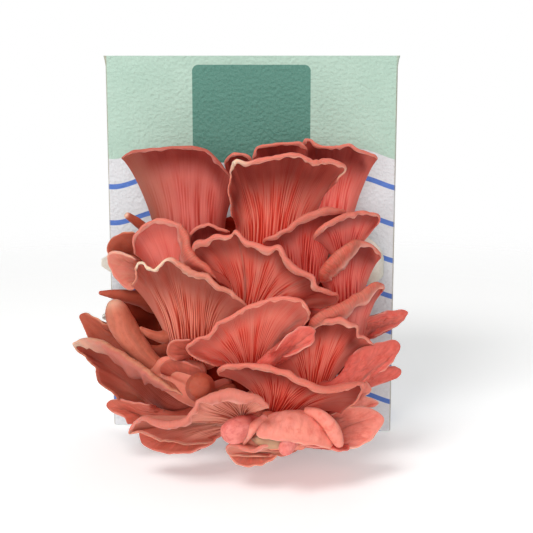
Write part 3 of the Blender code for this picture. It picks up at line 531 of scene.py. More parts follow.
# gill height in millimetres and half width in gill spacings, by the share of the way
# down the fan, where a stem's share is below 0; how deep the hollows are cut; how steep
# a gill's sides are; and for long, middling and short gills every how many of all gills
# is one, the first, and the share where they start
GILL_HEIGHT = ([-1.0, -0.2, 0.08, 0.40, 0.72, 1.0], [0.0, 0.30, 0.66, 0.44, 0.22, 0.05])
GILL_WIDTH = ([0.0, 0.30, 0.62, 1.0], [2.1, 1.3, 0.75, 0.60])
GILL_CUT = 0.72
GILL_STEEPNESS = 1.45
GILL_RANKS = ((4, 0, -2.0), (4, 2, 0.22), (2, 1, 0.50))

# ripples of a fan's sheet: how many waves, then the slowest and the fastest, each as
# one divided by its length in millimetres
GILL_SWAY = (4, 1 / 60, 1 / 16)
GILL_STRENGTH = (4, 1 / 40, 1 / 7)
FLUTES = (3, 1 / 90, 1 / 32)
RIPPLES = (4, 1 / 22, 1 / 10)
CRINKLES = (5, 1 / 9, 1 / 3.5)
CRINKLE_PATCHES = (2, 1 / 60, 1 / 25)
LUMPS_ACROSS = (4, 1 / 16, 1 / 6)
LUMPS_DOWN = (4, 1 / 14, 1 / 6)
FLANK_EDGE = (2, 1 / 30, 1 / 12)
ROLL_SIZES = (5, 1 / 32, 1 / 6)
ROLL_TURNS = (3, 1 / 40, 1 / 14)
RAGGED = (4, 1 / 24, 1 / 5)
RAGGED_FLAP = (4, 1 / 24, 1 / 9)

# how straight a stem is at its ends and a cap at its margin, as shares of their length
STEM_PULL = 0.35
MARGIN_PULL = 0.36

# how far ripples move the sheet, how far along the margin the gills' sway wanders from
# the neck to the margin, and the margins' lengths at which ripples are full
SWAY_HEIGHT = 0.75
SWAY_DRIFT = 14.0
CRINKLE_HEIGHT = 0.42
LUMP_HEIGHT = 0.16
FLUTED_LENGTH = 100.0
RIPPLED_LENGTH = 60.0

# a turned margin: the share of it that is bent where a flap hangs on, how much
# tighter the bend is then, how deep the roll is, and how thin its end gets
BENT_SHARE = 0.6
FLAP_TIGHTER = 0.45
ROLL_ROUND = 0.72
ROLL_THINNING = 0.45


class Fan:
    """One fan of the cluster: stem, cap with gills, and rolled margin, as one closed sheet."""

    def __init__(self, spec, seed):
        self.spec = spec
        self.rng = np.random.default_rng(seed)
        self.margin = Margin([[*sight(*point[:3]), *point[3:]] for point in spec["margin"]])
        self.arc = self.margin.length[-1]
        self.neck = sight(*spec["neck"])
        self.length = np.linalg.norm(self.margin.at(0.5)[:3] - self.neck)
        self.radius = spec["radius"]
        self.spread = max(spec["spread"], self.radius)
        self.root, self.away = trunk_root(self.neck, self.radius)
        self.to_view = unit(EYE - self.neck)
        self.tight = 1.0 - FLAP_TIGHTER * (spec["flap"] > 0.0)
        even = self.margin.at(np.linspace(0.0, 1.0, MARGIN_SAMPLES))[:, :3]
        middle = unit(even.mean(axis=0) - self.neck)
        rise = np.array([0.0, 0.0, spec["lift"]])
        self.ahead = unit(middle - self.to_view * spec["lean"] + rise)
        across = even[-1] - even[0]
        self.across = unit(across - self.ahead * np.dot(across, self.ahead))
        self.gills = max(LEAST_GILLS, round(self.arc / GILL_SPACING / 4.0) * 4)
        self.columns = self.gills * COLUMNS_PER_GILL + 1
        self.share = np.linspace(0.0, 1.0, self.columns)
        self.place = self.share[None, :] * self.arc

    def roll_size(self, share):
        return np.maximum(self.margin.at(share)[..., 3], 0.0)

    def from_ends(self, rate):
        """Rises from 0 at both sides of the fan to 1."""
        return np.clip(np.minimum(self.share, 1.0 - self.share) * rate, 0.0, 1.0)

    def warped(self, rows):
        """Each row's column places, moved sideways a little so that gills aren't straight."""
        sway = waves(self.rng, self.place + rows * SWAY_DRIFT, *GILL_SWAY)
        sway = sway * SWAY_HEIGHT / self.arc * self.from_ends(8.0) * smooth_step(rows, -0.2, 0.6)
        return self.share[None, :] + sway

    def stem(self):
        """Rows of points from the trunk to the neck, and their shares, which end at 0."""
        length = np.linalg.norm(self.neck - self.root)
        if length < self.radius * 1.5:
            return np.zeros((0, self.columns, 3)), np.zeros((0, 1))
        away = unit(self.away + self.ahead * 0.7)
        stem_across = unit(self.across - away * np.dot(self.across, away))
        s = np.linspace(0.0, 1.0, STEM_ROWS + 1)[:-1, None]
        start = self.root + away * length * STEM_PULL
        end = self.neck - self.ahead * length * STEM_PULL
        centre = bezier(self.root, start, end, self.neck, s)
        wide = unit(stem_across * (1 - s) + self.across * s)
        width = self.radius + (self.spread - self.radius) * s * s
        sag = self.to_view * (width - self.radius) * s
        t = (self.share * 2.0 - 1.0)[None, :, None]
        rows = centre[:, None] + (wide * width)[:, None] * t - sag[:, None] * t * t
        return rows, s - 1.0

    def cap(self):
        """Rows of points from the neck to where the margin's roll begins, and their shares."""
        spec = self.spec
        s = np.linspace(0.0, 1.0, CAP_ROWS)[:, None]
        share = self.warped(s)
        t = (share * 2.0 - 1.0)[..., None]
        edge = self.margin.at(share)[..., :3]
        wide = self.across * self.spread * t
        start = self.neck + wide - self.to_view * (self.spread - self.radius) * t * t
        radial = unit(edge - start)
        edge = edge - radial * self.roll_size(share)[..., None] * self.tight
        reach = np.linalg.norm(edge - start, axis=-1, keepdims=True)
        final = unit(radial - self.ahead * spec["flare"] + self.to_view * spec["hang"])
        first = unit(self.ahead * (1.0 - spec["splay"]) + radial * spec["splay"])
        first_pull = start + first * reach * spec["push"] * (1.0 - spec["dome"] * t * t)
        last_pull = edge - final * reach * MARGIN_PULL
        return bezier(start, first_pull, last_pull, edge, s[..., None]), s

    def ruffled(self, net, normal, s):
        """The sheet with its flutes, ripples, fine crinkles and, on a plump lobe, low lumps."""
        spec = self.spec
        flutes = waves(self.rng, self.place, *FLUTES) * smooth_step(s, 0.05, 0.7)
        flutes = flutes * (1.0 - 0.75 * smooth_step(s, 0.6, 1.0))
        ripple = waves(self.rng, self.place, *RIPPLES) * smooth_step(s, 0.75, 1.0)
        crinkle = waves(self.rng, self.place, *CRINKLES) * smooth_step(s, 0.90, 1.0)
        patches = 0.6 + 0.4 * waves(self.rng, self.place, *CRINKLE_PATCHES)
        flutes = flutes * spec["flute"] * min(1.0, self.arc / FLUTED_LENGTH)
        ripple = ripple * spec["ripple"] * min(1.0, self.arc / RIPPLED_LENGTH)
        crinkle = crinkle * spec["ripple"] * CRINKLE_HEIGHT * patches
        net = net + normal * (flutes + ripple + crinkle)[..., None]
        if spec["puff"]:
            down = s * self.length
            lumps = waves(self.rng, self.place + down * 0.4, *LUMPS_ACROSS)
            lumps = lumps + waves(self.rng, down - self.place * 0.3, *LUMPS_DOWN)
            net = net + normal * (lumps * LUMP_HEIGHT * smooth_step(s, 0.1, 0.5))[..., None]
        return net

    def thickness(self, s):
        """Half thickness all over the fan, which thins towards its sides."""
        spec = self.spec
        blend = smooth_step(s, 0.0, 0.45)
        half = self.radius * (1 - blend) + spec["thick"] * blend
        if spec["puff"]:
            thinner = 0.93 * np.clip((s - 0.55) / 0.45, 0.0, 1.0) ** 2
            half = half * np.sqrt(np.clip(1.0 - thinner, 0.0, 1.0))
            square = 2.3
        else:
            half = half + (spec["edge"] - spec["thick"]) * np.clip((s - 0.45) / 0.55, 0.0, 1.0)
            square = 2.0 + 5.0 * blend
        t = np.abs(self.share[None, :] * 2.0 - 1.0)
        return half * np.clip(1.0 - t ** square, 0.0, 1.0) ** (1.0 / square)

    def blades(self, s):
        """How far each spot stands up towards a gill's edge, from 0 to 1."""
        cell = self.share[None, :] * self.gills
        width = np.interp(s, *GILL_WIDTH)
        best = np.zeros((len(s), self.columns))
        for spacing, first, start in GILL_RANKS:
            number = np.round((cell - first) / spacing).astype(int)
            off = np.abs(cell - first - number * spacing)
            count = self.gills // spacing + 3
            late = self.rng.normal(0.0, 0.07, count)[number]
            tall = self.rng.uniform(0.70, 1.10, count)[number]
            grown = smooth_step(s, start + late, start + late + 0.20)
            blade = np.clip(GILL_STEEPNESS - GILL_STEEPNESS * off / width, 0.0, 1.0)
            best = np.maximum(best, grown * tall * blade)
        return np.clip(best, 0.0, 1.0)

    def build(self):
        """The fan's object; `shade` is low between gills, `flank` high where they fade."""
        spec = self.spec
        stem, stem_s = self.stem()
        cap, cap_s = self.cap()
        net = np.concatenate([stem, cap])
        s = np.concatenate([stem_s, cap_s])
        normal = gradient_normals(net)
        facing = np.sign(np.sum(normal * (EYE - net)))
        net = self.ruffled(net, normal, s)
        normal = gradient_normals(net) * facing * spec["face"]
        half = self.thickness(s)
        blade = self.blades(s)
        strong = waves(self.rng, self.place + s * 6.0, *GILL_STRENGTH)
        t = np.abs(self.share[None, :] * 2.0 - 1.0)
        flank = smooth_step(t + 0.10 * waves(self.rng, s * 30.0, *FLANK_EDGE), *spec["sides"])
        strong = np.clip(1.0 + 0.50 * strong, 0.35, 1.50) * (1.0 - 0.85 * flank)
        gill_height = np.interp(s, *GILL_HEIGHT)
        height = GILL_CUT * gill_height * spec["depth"] * np.minimum(1.0, half / 0.6) * strong
        gill_side = net + normal * (half - height * (1.0 - blade))[..., None]
        far_side = net - normal * half[..., None]
        shade = 1.0 - (1.0 - blade) * np.clip(gill_height * 1.7 * strong * spec["depth"], 0.0, 1.0)
        gill_roll, far_roll, roll_s = self.roll(net, normal, half)
        full = (ROLL_ROWS, self.columns)
        shade = np.concatenate([shade, np.ones(full)])
        flank = np.concatenate([flank, np.broadcast_to(flank[-1:], full)])
        return self.close(np.concatenate([gill_side, gill_roll]), np.concatenate([far_side, far_roll]),
                          np.concatenate([s, roll_s]), shade, flank, facing * spec["face"] > 0)

    def roll(self, net, normal, half):
        """Rows that carry the sheet on round the margin's roll, for both sides."""
        spec = self.spec
        size = self.roll_size(self.share)
        wide = max(1.5, size.max() * 1.3) * self.columns / self.arc
        rib = unit(smoothed(unit(net[-1] - net[-3]), wide))
        turn = smoothed(normal[-1], wide)
        turn = unit(turn - rib * np.sum(turn * rib, axis=1, keepdims=True))
        arc = self.share * self.arc
        uneven = np.interp(size, [1.0, 3.5], [0.26, 0.05])
        size = size * (1.0 + uneven * waves(self.rng, arc, *ROLL_SIZES))
        angle = np.radians(spec["curl"]) * (1.0 + 0.08 * waves(self.rng, arc, *ROLL_TURNS))
        ragged = np.interp(size, [1.0, 4.0], [0.60, 0.14]) / max(1.0, spec["flap"])
        edge = waves(self.rng, arc, *(RAGGED if spec["flap"] < 1.0 else RAGGED_FLAP))
        flap = spec["flap"] * np.clip(1.0 + ragged * edge, 0.3, 1.8)
        push = (size * np.sqrt(self.from_ends(12.0)))[:, None]
        gill_rows = []
        far_rows = []
        shares = np.arange(1, ROLL_ROWS + 1) / ROLL_ROWS
        for part in shares:
            bend = min(1.0, part / BENT_SHARE) if spec["flap"] else part
            a = (angle * bend)[:, None]
            hang = (flap * max(0.0, part - BENT_SHARE) / (1.0 - BENT_SHARE))[:, None]
            middle = rib * np.sin(a) + turn * ROLL_ROUND * (1 - np.cos(a))
            middle = middle * self.tight + (rib * np.cos(a) + turn * ROLL_ROUND * np.sin(a)) * hang
            middle = net[-1] + middle * push
            facing = turn * np.cos(a) - rib * np.sin(a)
            thin = (half[-1] * (1.0 - ROLL_THINNING * part))[:, None]
            gill_rows.append(middle + facing * thin)
            far_rows.append(middle - facing * thin)
        return np.array(gill_rows), np.array(far_rows), 1.0 + shares[:, None]

    def close(self, near, far, s, shade, flank, turned):
        """Join the two sides into one closed mesh with its map and its finish values."""
        far = far[:, ::FAR_STEP]
        full = near.shape[:2]
        near_index = np.arange(near[..., 0].size).reshape(full)
        far_index = near_index.size + np.arange(far[..., 0].size).reshape(far.shape[:2])
        far_index[:, 0] = near_index[:, 0]
        far_index[:, -1] = near_index[:, -1]
        faces = quads(near_index) + quads(far_index[:, ::-1]) + fringe(near_index[-1], far_index[-1])
        faces += [face[::-1] for face in fringe(near_index[0], far_index[0])]
        if turned:
            faces = [face[::-1] for face in faces]
        size = self.roll_size(self.share)
        # the painted shade under the margin starts at this share and is this dark
        start, strength = self.spec["shadow"]
        marks = {
            "reach": s,
            "shade": shade,
            "skin": 0.0,
            "fold": smooth_step(size, 1.2, 2.8) * self.spec["felt"],
            "lip": smooth_step(size, 0.15, 0.7),
            "dark": smooth_step(s, start, start * 0.4 + 0.63) * strength,
            "flank": flank,
            "pale": np.clip(self.margin.at(self.share)[:, 4], 0.0, 1.0),
        }
        values = {}
        for key, numbers in marks.items():
            numbers = np.broadcast_to(numbers, full)
            values[key] = both(numbers, numbers[:, ::FAR_STEP])
        for key in ("shade", "skin"):
            values[key][near_index.size:] = 1.0
        flat = [np.broadcast_to(line, full) for line in (self.place, s * self.length)]
        sheet = np.stack([both(line, line[:, ::FAR_STEP]) for line in flat], axis=1)
        return make_mesh(self.spec["name"], both(near, far, (3,)), faces, values, sheet * MAP_UNIT)


# a fan's measures, where it doesn't give its own
FAN = {
    "radius": 4.5,  # of its stem
    "spread": 0.0,  # half width where the cap leaves the stem, if that is more
    "lean": 0.40,  # how far the cap starts out away from the view
    "lift": 0.0,  # how far it starts out upward
    "push": 0.33,  # how far it keeps on the way it starts out
    "dome": 0.0,  # how much less it does so at its sides
    "splay": 0.3,  # how straight it runs from the neck to the margin
    "flare": 0.45,  # how far it bends back at the margin
    "hang": 0.6,  # how far it leans out towards the view there
    "face": 1,  # 1 where the gills are seen and -1 where the skin is
    "thick": 1.5,  # half thickness of the cap
    "edge": 0.5,  # half thickness at the margin
    "curl": 172.0,  # degrees by which the margin is turned
    "flap": 0.75,  # how far the turned margin hangs down, in roll sizes
    "depth": 1.0,  # of the gills
    "flute": 1.6,  # height of the wide flutes
    "ripple": 0.35,  # height of the margin's ripples
    "felt": 0.0,  # how brown and felted a wide roll is
    # the shadow entry places the painted shade under the margin
    "shadow": (0.42, 1.0),  # where the dark band under the margin begins, and how dark it is
    "sides": (0.50, 0.98),  # where the gills fade towards the sides
    "puff": False,  # whether it is a plump, smooth lobe
    "tone": "coral",
}
# a smooth lobe's measures, where they differ
PETAL = {
    "face": -1, "puff": True, "hang": 0.0, "thick": 2.8, "flute": 0.4, "ripple": 0.12,
    "curl": 150.0, "flap": 0.0, "flare": 0.2, "tone": "rose", "slot": "rose",
}
# the usual roll sizes of their margins
FAN_ROLL = 0.8
PETAL_ROLL = 0.6


def fan(name, margin, neck, **measures):
    """A fan's entry; a point that says no more gets the usual roll and no paleness."""
    spec = {**FAN, **measures}
    spec["name"] = "mushroom_" + name
    spec["neck"] = neck
    spec["margin"] = [point + (FAN_ROLL, 0.0)[len(point) - 3:] for point in margin]
    spec["slot"] = spec.get("slot", spec["tone"]) + "_flesh"
    return spec


def petal(name, margin, neck, **measures):
    """A smooth plump lobe that shows its skin; its points may give a paleness."""
    points = [(*point[:3], PETAL_ROLL, *point[3:]) for point in margin]
    return fan(name, points, neck, **{**PETAL, **measures})


# every fan: its margin as (photo column, photo row, distance in front of the face, roll
# size, paleness), then such a place for its neck, where the stem widens
FANS = [
    fan("top_left",
        [(121, 158, 40, 0.3), (127, 153, 42, 0.6), (137, 149, 45, 0.9), (151, 148, 47, 0.9),
         (168, 147, 48, 0.9), (182, 146, 48, 1.0), (196, 147, 47, 1.1), (207, 150, 45, 1.3),
         (216, 157, 43, 1.2), (223, 165, 41, 0.8), (231, 176, 38, 0.4), (238, 190, 34, 0.1)],
        (192, 250, 28), spread=17.0, tone="pink", slot="coral", flare=0.6, flute=2.2, hang=0.5, depth=0.35,
        shadow=(0.60, 0.95), ripple=0.15),
    fan("top_middle",
        [(233, 218, 45, 0.0), (230, 200, 49, 0.0), (229, 180, 53, 0.1), (231, 163, 57, 1.3, 0.9),
         (237, 158, 60, 1.9, 0.9), (246, 161, 60, 1.7, 0.5), (255, 159, 60, 1.7), (263, 158, 61, 1.7),
         (275, 155, 62, 1.6), (289, 153, 63, 1.5), (300, 154, 62, 1.6), (308, 158, 61, 1.8),
         (319, 160, 59, 2.2), (331, 158, 57, 2.2), (340, 159, 55, 1.8), (345, 164, 53, 1.0),
         (345, 172, 51, 0.6, 0.6), (337, 184, 49, 0.1)],
        (268, 250, 32), radius=5.0, spread=17.0, tone="flame", slot="coral", flute=2.0, ripple=0.5,
        depth=0.8, shadow=(0.34, 1.0)),
    fan("top_back",
        [(252, 158, 40, 0.6), (256, 148, 42, 0.9), (263, 145, 43, 1.0), (275, 143, 43, 1.0),
         (289, 142, 43, 1.1), (300, 142, 42, 1.2), (308, 148, 41, 1.0)],
        (283, 208, 22), lean=0.2),
    fan("top_right",
        [(300, 146, 33, 0.8), (305, 138, 34, 1.4), (311, 140, 35, 1.4), (319, 144, 36, 1.2),
         (331, 146, 37, 1.0), (342, 145, 38, 1.1), (350, 144, 39, 1.1), (359, 148, 39, 1.1),
         (367, 152, 38, 0.9), (375, 155, 37, 0.8), (378, 159, 35, 0.3)],
        (326, 228, 20), spread=12.0, flare=0.6, ripple=0.5, depth=0.4),
    fan("top_gap",
        [(224, 164, 33, 0.5), (228, 157, 35, 0.9), (233, 153, 37, 1.1), (241, 153, 38, 1.1),
         (249, 156, 38, 1.0), (253, 162, 37, 0.6)],
        (242, 212, 20), lean=0.2),
    fan("right_upper",
        [(262, 242, 62, 0.9), (266, 236, 64, 1.4), (275, 233, 65, 1.7), (286, 227, 65, 2.2),
         (294, 220, 64, 2.6), (303, 214, 62, 3.0), (314, 210, 60, 3.2), (325, 206, 58, 3.2),
         (336, 207, 55, 2.8), (345, 210, 52, 1.6), (348, 216, 50, 0.5)],
        (301, 290, 42), radius=5.0, spread=8.0, splay=0.7, felt=0.35, ripple=0.3,
        depth=0.8, shadow=(0.55, 0.85)),
    fan("right_lobe",
        [(314, 240, 60, 0.6), (314, 234, 62, 1.4), (319, 227, 63, 2.2), (331, 219, 62, 2.4),
         (342, 214, 60, 2.4), (353, 211, 57, 2.0), (367, 211, 53, 1.5), (377, 214, 50, 0.9),
         (379, 219, 48, 0.4), (377, 226, 47, 0.2)],
        (344, 262, 33), spread=6.0, splay=0.6, felt=0.35, depth=0.6, shadow=(0.55, 0.85)),
    fan("right_rolled",
        [(319, 280, 62, 4.3), (319, 269, 64, 5.4), (326, 258, 65, 5.9), (336, 248, 65, 5.9),
         (347, 240, 63, 5.4), (357, 238, 60, 3.5), (363, 240, 58, 1.6), (370, 244, 56, 0.9),
         (376, 248, 54, 0.9), (380, 253, 51, 0.8), (381, 258, 49, 0.4)],
        (343, 304, 42), spread=10.0, curl=166.0, flap=1.5, depth=0.5, felt=1.0, hang=0.3, flute=0.8),
    fan("centre_upper",
        [(218, 283, 63, 0.0), (211, 273, 65, 0.1), (200, 264, 66, 0.2), (194, 254, 66, 0.7),
         (193, 246, 67, 1.8), (197, 241, 68, 2.5), (204, 239, 70, 2.5), (213, 234, 72, 2.2),
         (223, 233, 74, 2.1), (230, 233, 75, 1.4), (235, 229, 76, 1.3), (241, 233, 77, 2.0),
         (247, 238, 78, 2.6), (258, 243, 80, 3.1), (269, 245, 80, 3.1), (278, 244, 80, 2.4),
         (283, 248, 80, 2.5), (288, 258, 79, 3.0), (296, 265, 78, 3.2), (308, 271, 77, 2.6),
         (316, 276, 76, 2.2), (320, 284, 75, 2.4), (330, 289, 72, 2.2), (338, 294, 69, 1.0),
         (335, 302, 66, 0.2), (320, 309, 64, 0.0)],
        (250, 310, 46), radius=5.0, spread=8.0, splay=0.75, tone="flame", slot="coral", flute=2.2,
        ripple=0.3, depth=0.8, shadow=(0.56, 0.85)),
    fan("centre_peek",
        [(189, 240, 58, 0.6), (190, 234, 59, 0.9), (196, 227, 60, 1.1), (204, 224, 61, 1.2),
         (211, 223, 62, 1.3), (218, 227, 62, 1.2), (230, 231, 61, 0.9)],
        (212, 268, 38), spread=11.0, hang=0.3),
    fan("left_cup",
        [(134, 254, 50, 0.4), (133, 237, 52, 0.8), (140, 228, 54, 1.0), (148, 222, 55, 1.1),
         (158, 218, 56, 1.4), (168, 219, 57, 1.4), (175, 223, 58, 1.4), (182, 223, 59, 2.2),
         (187, 229, 61, 4.0), (190, 241, 65, 5.6), (195, 251, 68, 5.8), (204, 260, 70, 4.6),
         (212, 269, 71, 2.8), (217, 278, 71, 1.0)],
        (184, 298, 42), spread=12.0, depth=0.30, curl=166.0, flap=1.6, felt=0.8, hang=0.3, flute=0.9,
        shadow=(0.7, 0.4)),
    petal("far_left_upper",
          [(118, 258, 33), (110, 254, 33), (108, 250, 33), (109, 244, 34), (113, 239, 35), (119, 235, 36),
           (127, 233, 37), (135, 233, 38)],
          (148, 262, 22), radius=3.5, spread=7.0, flare=0.3, tone="umber", slot="russet"),
    petal("far_left_lower",
          [(136, 260, 42, 0.2), (127, 256, 41, 0.4), (119, 253, 40, 0.4), (112, 253, 40, 0.4),
           (108, 256, 40, 0.2), (109, 263, 40), (113, 271, 41), (118, 279, 42), (123, 285, 43),
           (129, 288, 44), (135, 288, 45)],
          (150, 276, 28), radius=3.5, spread=6.0, flare=0.3, tone="shell", slot="rose"),
    fan("left_centre",
        [(131, 286, 60, 0.1), (136, 278, 63, 0.3), (135, 269, 65, 0.6), (137, 264, 66, 0.9, 1.0),
         (140, 262, 68, 1.0, 1.0), (147, 265, 70, 1.0, 1.0), (154, 268, 71, 1.0, 1.0),
         (159, 265, 73, 1.0, 1.0), (165, 259, 74, 1.2, 0.9), (172, 257, 75, 1.8, 0.2),
         (178, 260, 76, 2.8), (187, 264, 77, 3.2), (197, 269, 78, 3.0), (209, 275, 79, 2.6),
         (222, 285, 80, 2.2), (232, 291, 80, 1.8), (241, 299, 80, 1.4), (248, 306, 79, 0.8)],
        (194, 354, 48), radius=5.5, spread=12.0, flare=0.55, tone="russet", ripple=0.5,
        felt=0.3, flute=1.8, depth=1.0, shadow=(0.40, 0.8), splay=0.4),
    fan("centre",
        [(218, 367, 76, 0.0), (203, 361, 79, 0.1), (192, 354, 80, 0.3), (186, 348, 81, 0.8),
         (188, 343, 83, 1.1), (196, 339, 85, 1.2), (207, 333, 89, 1.3), (218, 322, 92, 1.4),
         (232, 314, 94, 1.4), (246, 306, 95, 1.6), (260, 301, 96, 1.6), (275, 298, 97, 1.5),
         (289, 297, 97, 1.4), (303, 301, 95, 1.2), (311, 311, 92, 0.7), (309, 318, 90, 0.4),
         (304, 327, 88, 0.2)],
        (248, 368, 60), radius=4.5, spread=6.0, splay=0.85, tone="flame", slot="coral", flute=1.6,
        depth=0.7, shadow=(0.60, 0.50)),
    petal("left_small_lobe",
          [(191, 341, 72), (179, 341, 72), (171, 344, 72), (168, 350, 72), (170, 356, 72),
           (177, 361, 73)],
          (206, 350, 54), radius=3.5, tone="ember", slot="coral"),
    fan("right_diagonal",
        [(308, 326, 84, 3.8), (310, 317, 84, 4.9), (319, 310, 82, 5.5), (333, 303, 78, 5.8),
         (347, 296, 74, 5.5), (359, 289, 70, 4.9), (370, 283, 66, 4.1), (378, 281, 63, 2.6),
         (384, 285, 60, 1.2), (383, 291, 59, 0.4)],
        (342, 344, 56), spread=12.0, curl=166.0, flap=1.4, depth=0.4, felt=0.8, hang=0.3, flute=0.8),
    petal("right_spear_upper",
          [(363, 322, 50), (372, 317, 47), (384, 314, 44), (396, 311, 41), (404, 311, 38),
           (407, 314, 37), (400, 322, 39), (387, 329, 43), (375, 336, 47)],
          (358, 334, 42), flare=0.1),
    fan("right_centre",
        [(264, 368, 84, 0.0), (277, 357, 84, 0.0), (290, 346, 82, 0.1), (301, 335, 79, 0.6),
         (306, 328, 79, 1.4), (315, 321, 80, 2.2), (326, 317, 81, 2.6), (340, 317, 82, 2.6),
         (351, 320, 79, 2.2), (358, 325, 76, 1.4), (359, 333, 73, 1.2), (367, 338, 69, 1.2),
         (375, 344, 66, 0.7)],
        (311, 386, 60), radius=4.5, spread=7.0, splay=0.85, tone="flame", slot="coral", ripple=0.5,
        hang=0.4, depth=0.8, shadow=(0.52, 1.0)),
    petal("centre_tongue",
          [(276, 351, 95), (282, 344, 96), (288, 337, 97), (299, 329, 97), (308, 327, 97), (315, 331, 96),
           (313, 335, 96), (313, 341, 96), (306, 346, 96), (295, 352, 95), (283, 356, 94)],
          (268, 362, 84), radius=4.0, flare=0.1, thick=2.0,
          flute=0.2),
    petal("right_spear_lower",
          [(352, 354, 72), (362, 349, 69), (376, 345, 65), (387, 342, 60), (395, 341, 57),
           (400, 346, 56), (397, 354, 57), (390, 363, 61), (379, 372, 64)],
          (342, 386, 68), radius=3.5, flare=0.1, spread=6.0),
    petal("right_spear_small",
          [(370, 374, 50), (381, 368, 48), (390, 367, 46), (398, 368, 44), (401, 373, 43),
           (398, 378, 44)],
          (358, 388, 46), radius=3.0, flare=0.1, thick=2.2),
    fan("lower_centre",
        [(219, 376, 92, 0.8), (217, 371, 94, 1.4), (221, 366, 97, 1.8), (232, 363, 100, 2.2),
         (246, 362, 103, 2.4), (263, 363, 105, 2.6), (275, 366, 106, 2.8), (289, 370, 106, 2.9),
         (297, 376, 106, 3.0), (308, 380, 105, 3.2), (319, 385, 103, 3.4), (331, 387, 100, 3.4),
         (345, 385, 96, 3.2), (356, 381, 92, 2.4), (364, 383, 88, 1.4), (363, 391, 86, 0.8),
         (358, 400, 85, 0.4), (350, 407, 85, 0.2), (341, 414, 84, 0.0)],
        (278, 408, 70), radius=5.5, spread=7.0, splay=0.8, ripple=0.3, tone="flame", slot="coral",
        felt=0.25, shadow=(0.38, 1.0)),
    petal("right_ruffle",
          [(361, 377, 64), (367, 384, 62), (371, 390, 60), (365, 396, 60), (372, 400, 57),
           (379, 403, 55), (373, 407, 57)],
          (344, 404, 54), radius=3.0, spread=5.0, thick=1.6, tone="blush"),
    fan("bottom_left",
        [(212, 441, 92, 0.0), (195, 444, 94, 0.0), (178, 443, 95, 0.0), (160, 440, 95, 0.1),
         (147, 435, 94, 0.2), (138, 431, 92, 0.3), (129, 434, 90, 0.4), (130, 429, 91, 0.6),
         (137, 419, 94, 1.4), (143, 416, 97, 2.6), (151, 419, 100, 3.8), (161, 422, 103, 4.2),
         (173, 421, 105, 4.0), (183, 418, 106, 3.2), (189, 413, 107, 1.4), (192, 409, 108, 2.6),
         (194, 404, 108, 2.6), (196, 400, 109, 1.4), (203, 394, 110, 4.4), (214, 390, 111, 5.2),
         (228, 388, 112, 5.6), (246, 390, 113, 5.6), (258, 394, 113, 4.8), (267, 401, 113, 3.4),
         (270, 408, 112, 1.6)],
        (246, 418, 84), radius=5.0, splay=0.8, ripple=0.4, felt=0.7, tone="shell",
        slot="coral", depth=0.9, sides=(0.95, 1.3),
        shadow=(0.75, 0.35)),
    petal("bottom_left_under",
          [(139, 431, 87), (141, 440, 87), (149, 447, 88), (160, 451, 90), (175, 452, 91), (190, 451, 92),
           (203, 446, 92), (212, 442, 91), (217, 436, 90)],
          (212, 424, 74), flare=0.3, thick=3.6, tone="ember"),
    petal("bottom_centre",
          [(256, 431, 106), (258, 435, 108), (270, 437, 110), (285, 439, 111), (300, 441, 110),
           (314, 443, 108), (323, 445, 105), (330, 446, 102), (335, 443, 98)],
          (298, 427, 82), radius=4.5, spread=13.0, flare=0.7, lift=1.6, push=0.66, dome=0.55,
          thick=4.0, tone="blush", flute=0.0),
    petal("bottom_right",
          [(330, 415, 80), (346, 409, 79), (360, 408, 77), (373, 411, 76), (383, 418, 78),
           (379, 428, 82), (370, 439, 86), (361, 445, 89), (352, 447, 91), (344, 446, 92)],
          (322, 432, 70), radius=3.5, spread=9.0, tone="blush"),
    fan("bottom_fan",
        [(268, 456, 102, 0.0), (252, 456, 103, 0.1), (240, 455, 104, 0.2), (230, 455, 104, 0.3),
         (226, 449, 104, 0.5), (229, 444, 105, 1.0), (236, 445, 107, 1.4), (243, 448, 108, 1.6),
         (252, 449, 108, 1.6), (262, 446, 107, 1.2), (272, 443, 106, 0.8), (281, 443, 105, 0.4)],
        (284, 450, 96), radius=2.4, spread=3.5, flare=0.2, hang=0.2, tone="shell",
        slot="coral", shadow=(0.8, 0.3), flute=0.6),
    petal("bottom_fan_under",
          [(229, 452, 96), (233, 459, 97), (241, 464, 98), (252, 465, 99), (264, 463, 99),
           (275, 457, 98), (280, 452, 97)],
          (258, 450, 82), radius=2.5, spread=6.0, thick=2.0, tone="russet", slot="coral"),
    petal("bottom_right_under",
          [(290, 450, 96), (296, 443, 100), (310, 445, 102), (325, 447, 102), (338, 449, 100),
           (348, 449, 96), (349, 444, 93)],
          (318, 442, 78), radius=2.5, spread=8.0, thick=2.0, slot="coral"),
    fan("left_lower",
        [(119, 400, 66, 0.0), (113, 393, 63, 0.1), (105, 387, 60, 0.1), (99, 381, 57, 0.1),
         (96, 373, 54, 0.1), (96, 367, 52, 0.1), (89, 361, 49, 0.2), (80, 353, 46, 0.4),
         (73, 345, 44, 0.7, 0.5), (76, 341, 45, 1.7, 0.5), (85, 338, 48, 2.9, 0.3),
         (96, 338, 52, 3.8, 0.2), (110, 344, 57, 4.8), (124, 352, 63, 5.3), (138, 361, 69, 5.3),
         (150, 371, 75, 4.6), (163, 382, 80, 3.4), (183, 396, 84, 1.7)],
        (170, 400, 54), radius=4.5, spread=12.0, flare=0.3, tone="tan", slot="russet",
        curl=168.0, flap=2.2, depth=0.25, hang=0.2, felt=1.0, flute=0.8,
        shadow=(0.6, 0.4)),
    petal("left_back",
          [(89, 340, 34), (87, 332, 33), (83, 325, 32), (80, 317, 31), (83, 314, 31),
           (90, 316, 33), (98, 321, 35), (105, 325, 37), (113, 323, 39)],
          (134, 354, 34), radius=3.5, spread=10.0, flare=0.3, tone="umber", slot="russet"),
    petal("left_bottom_lobe",
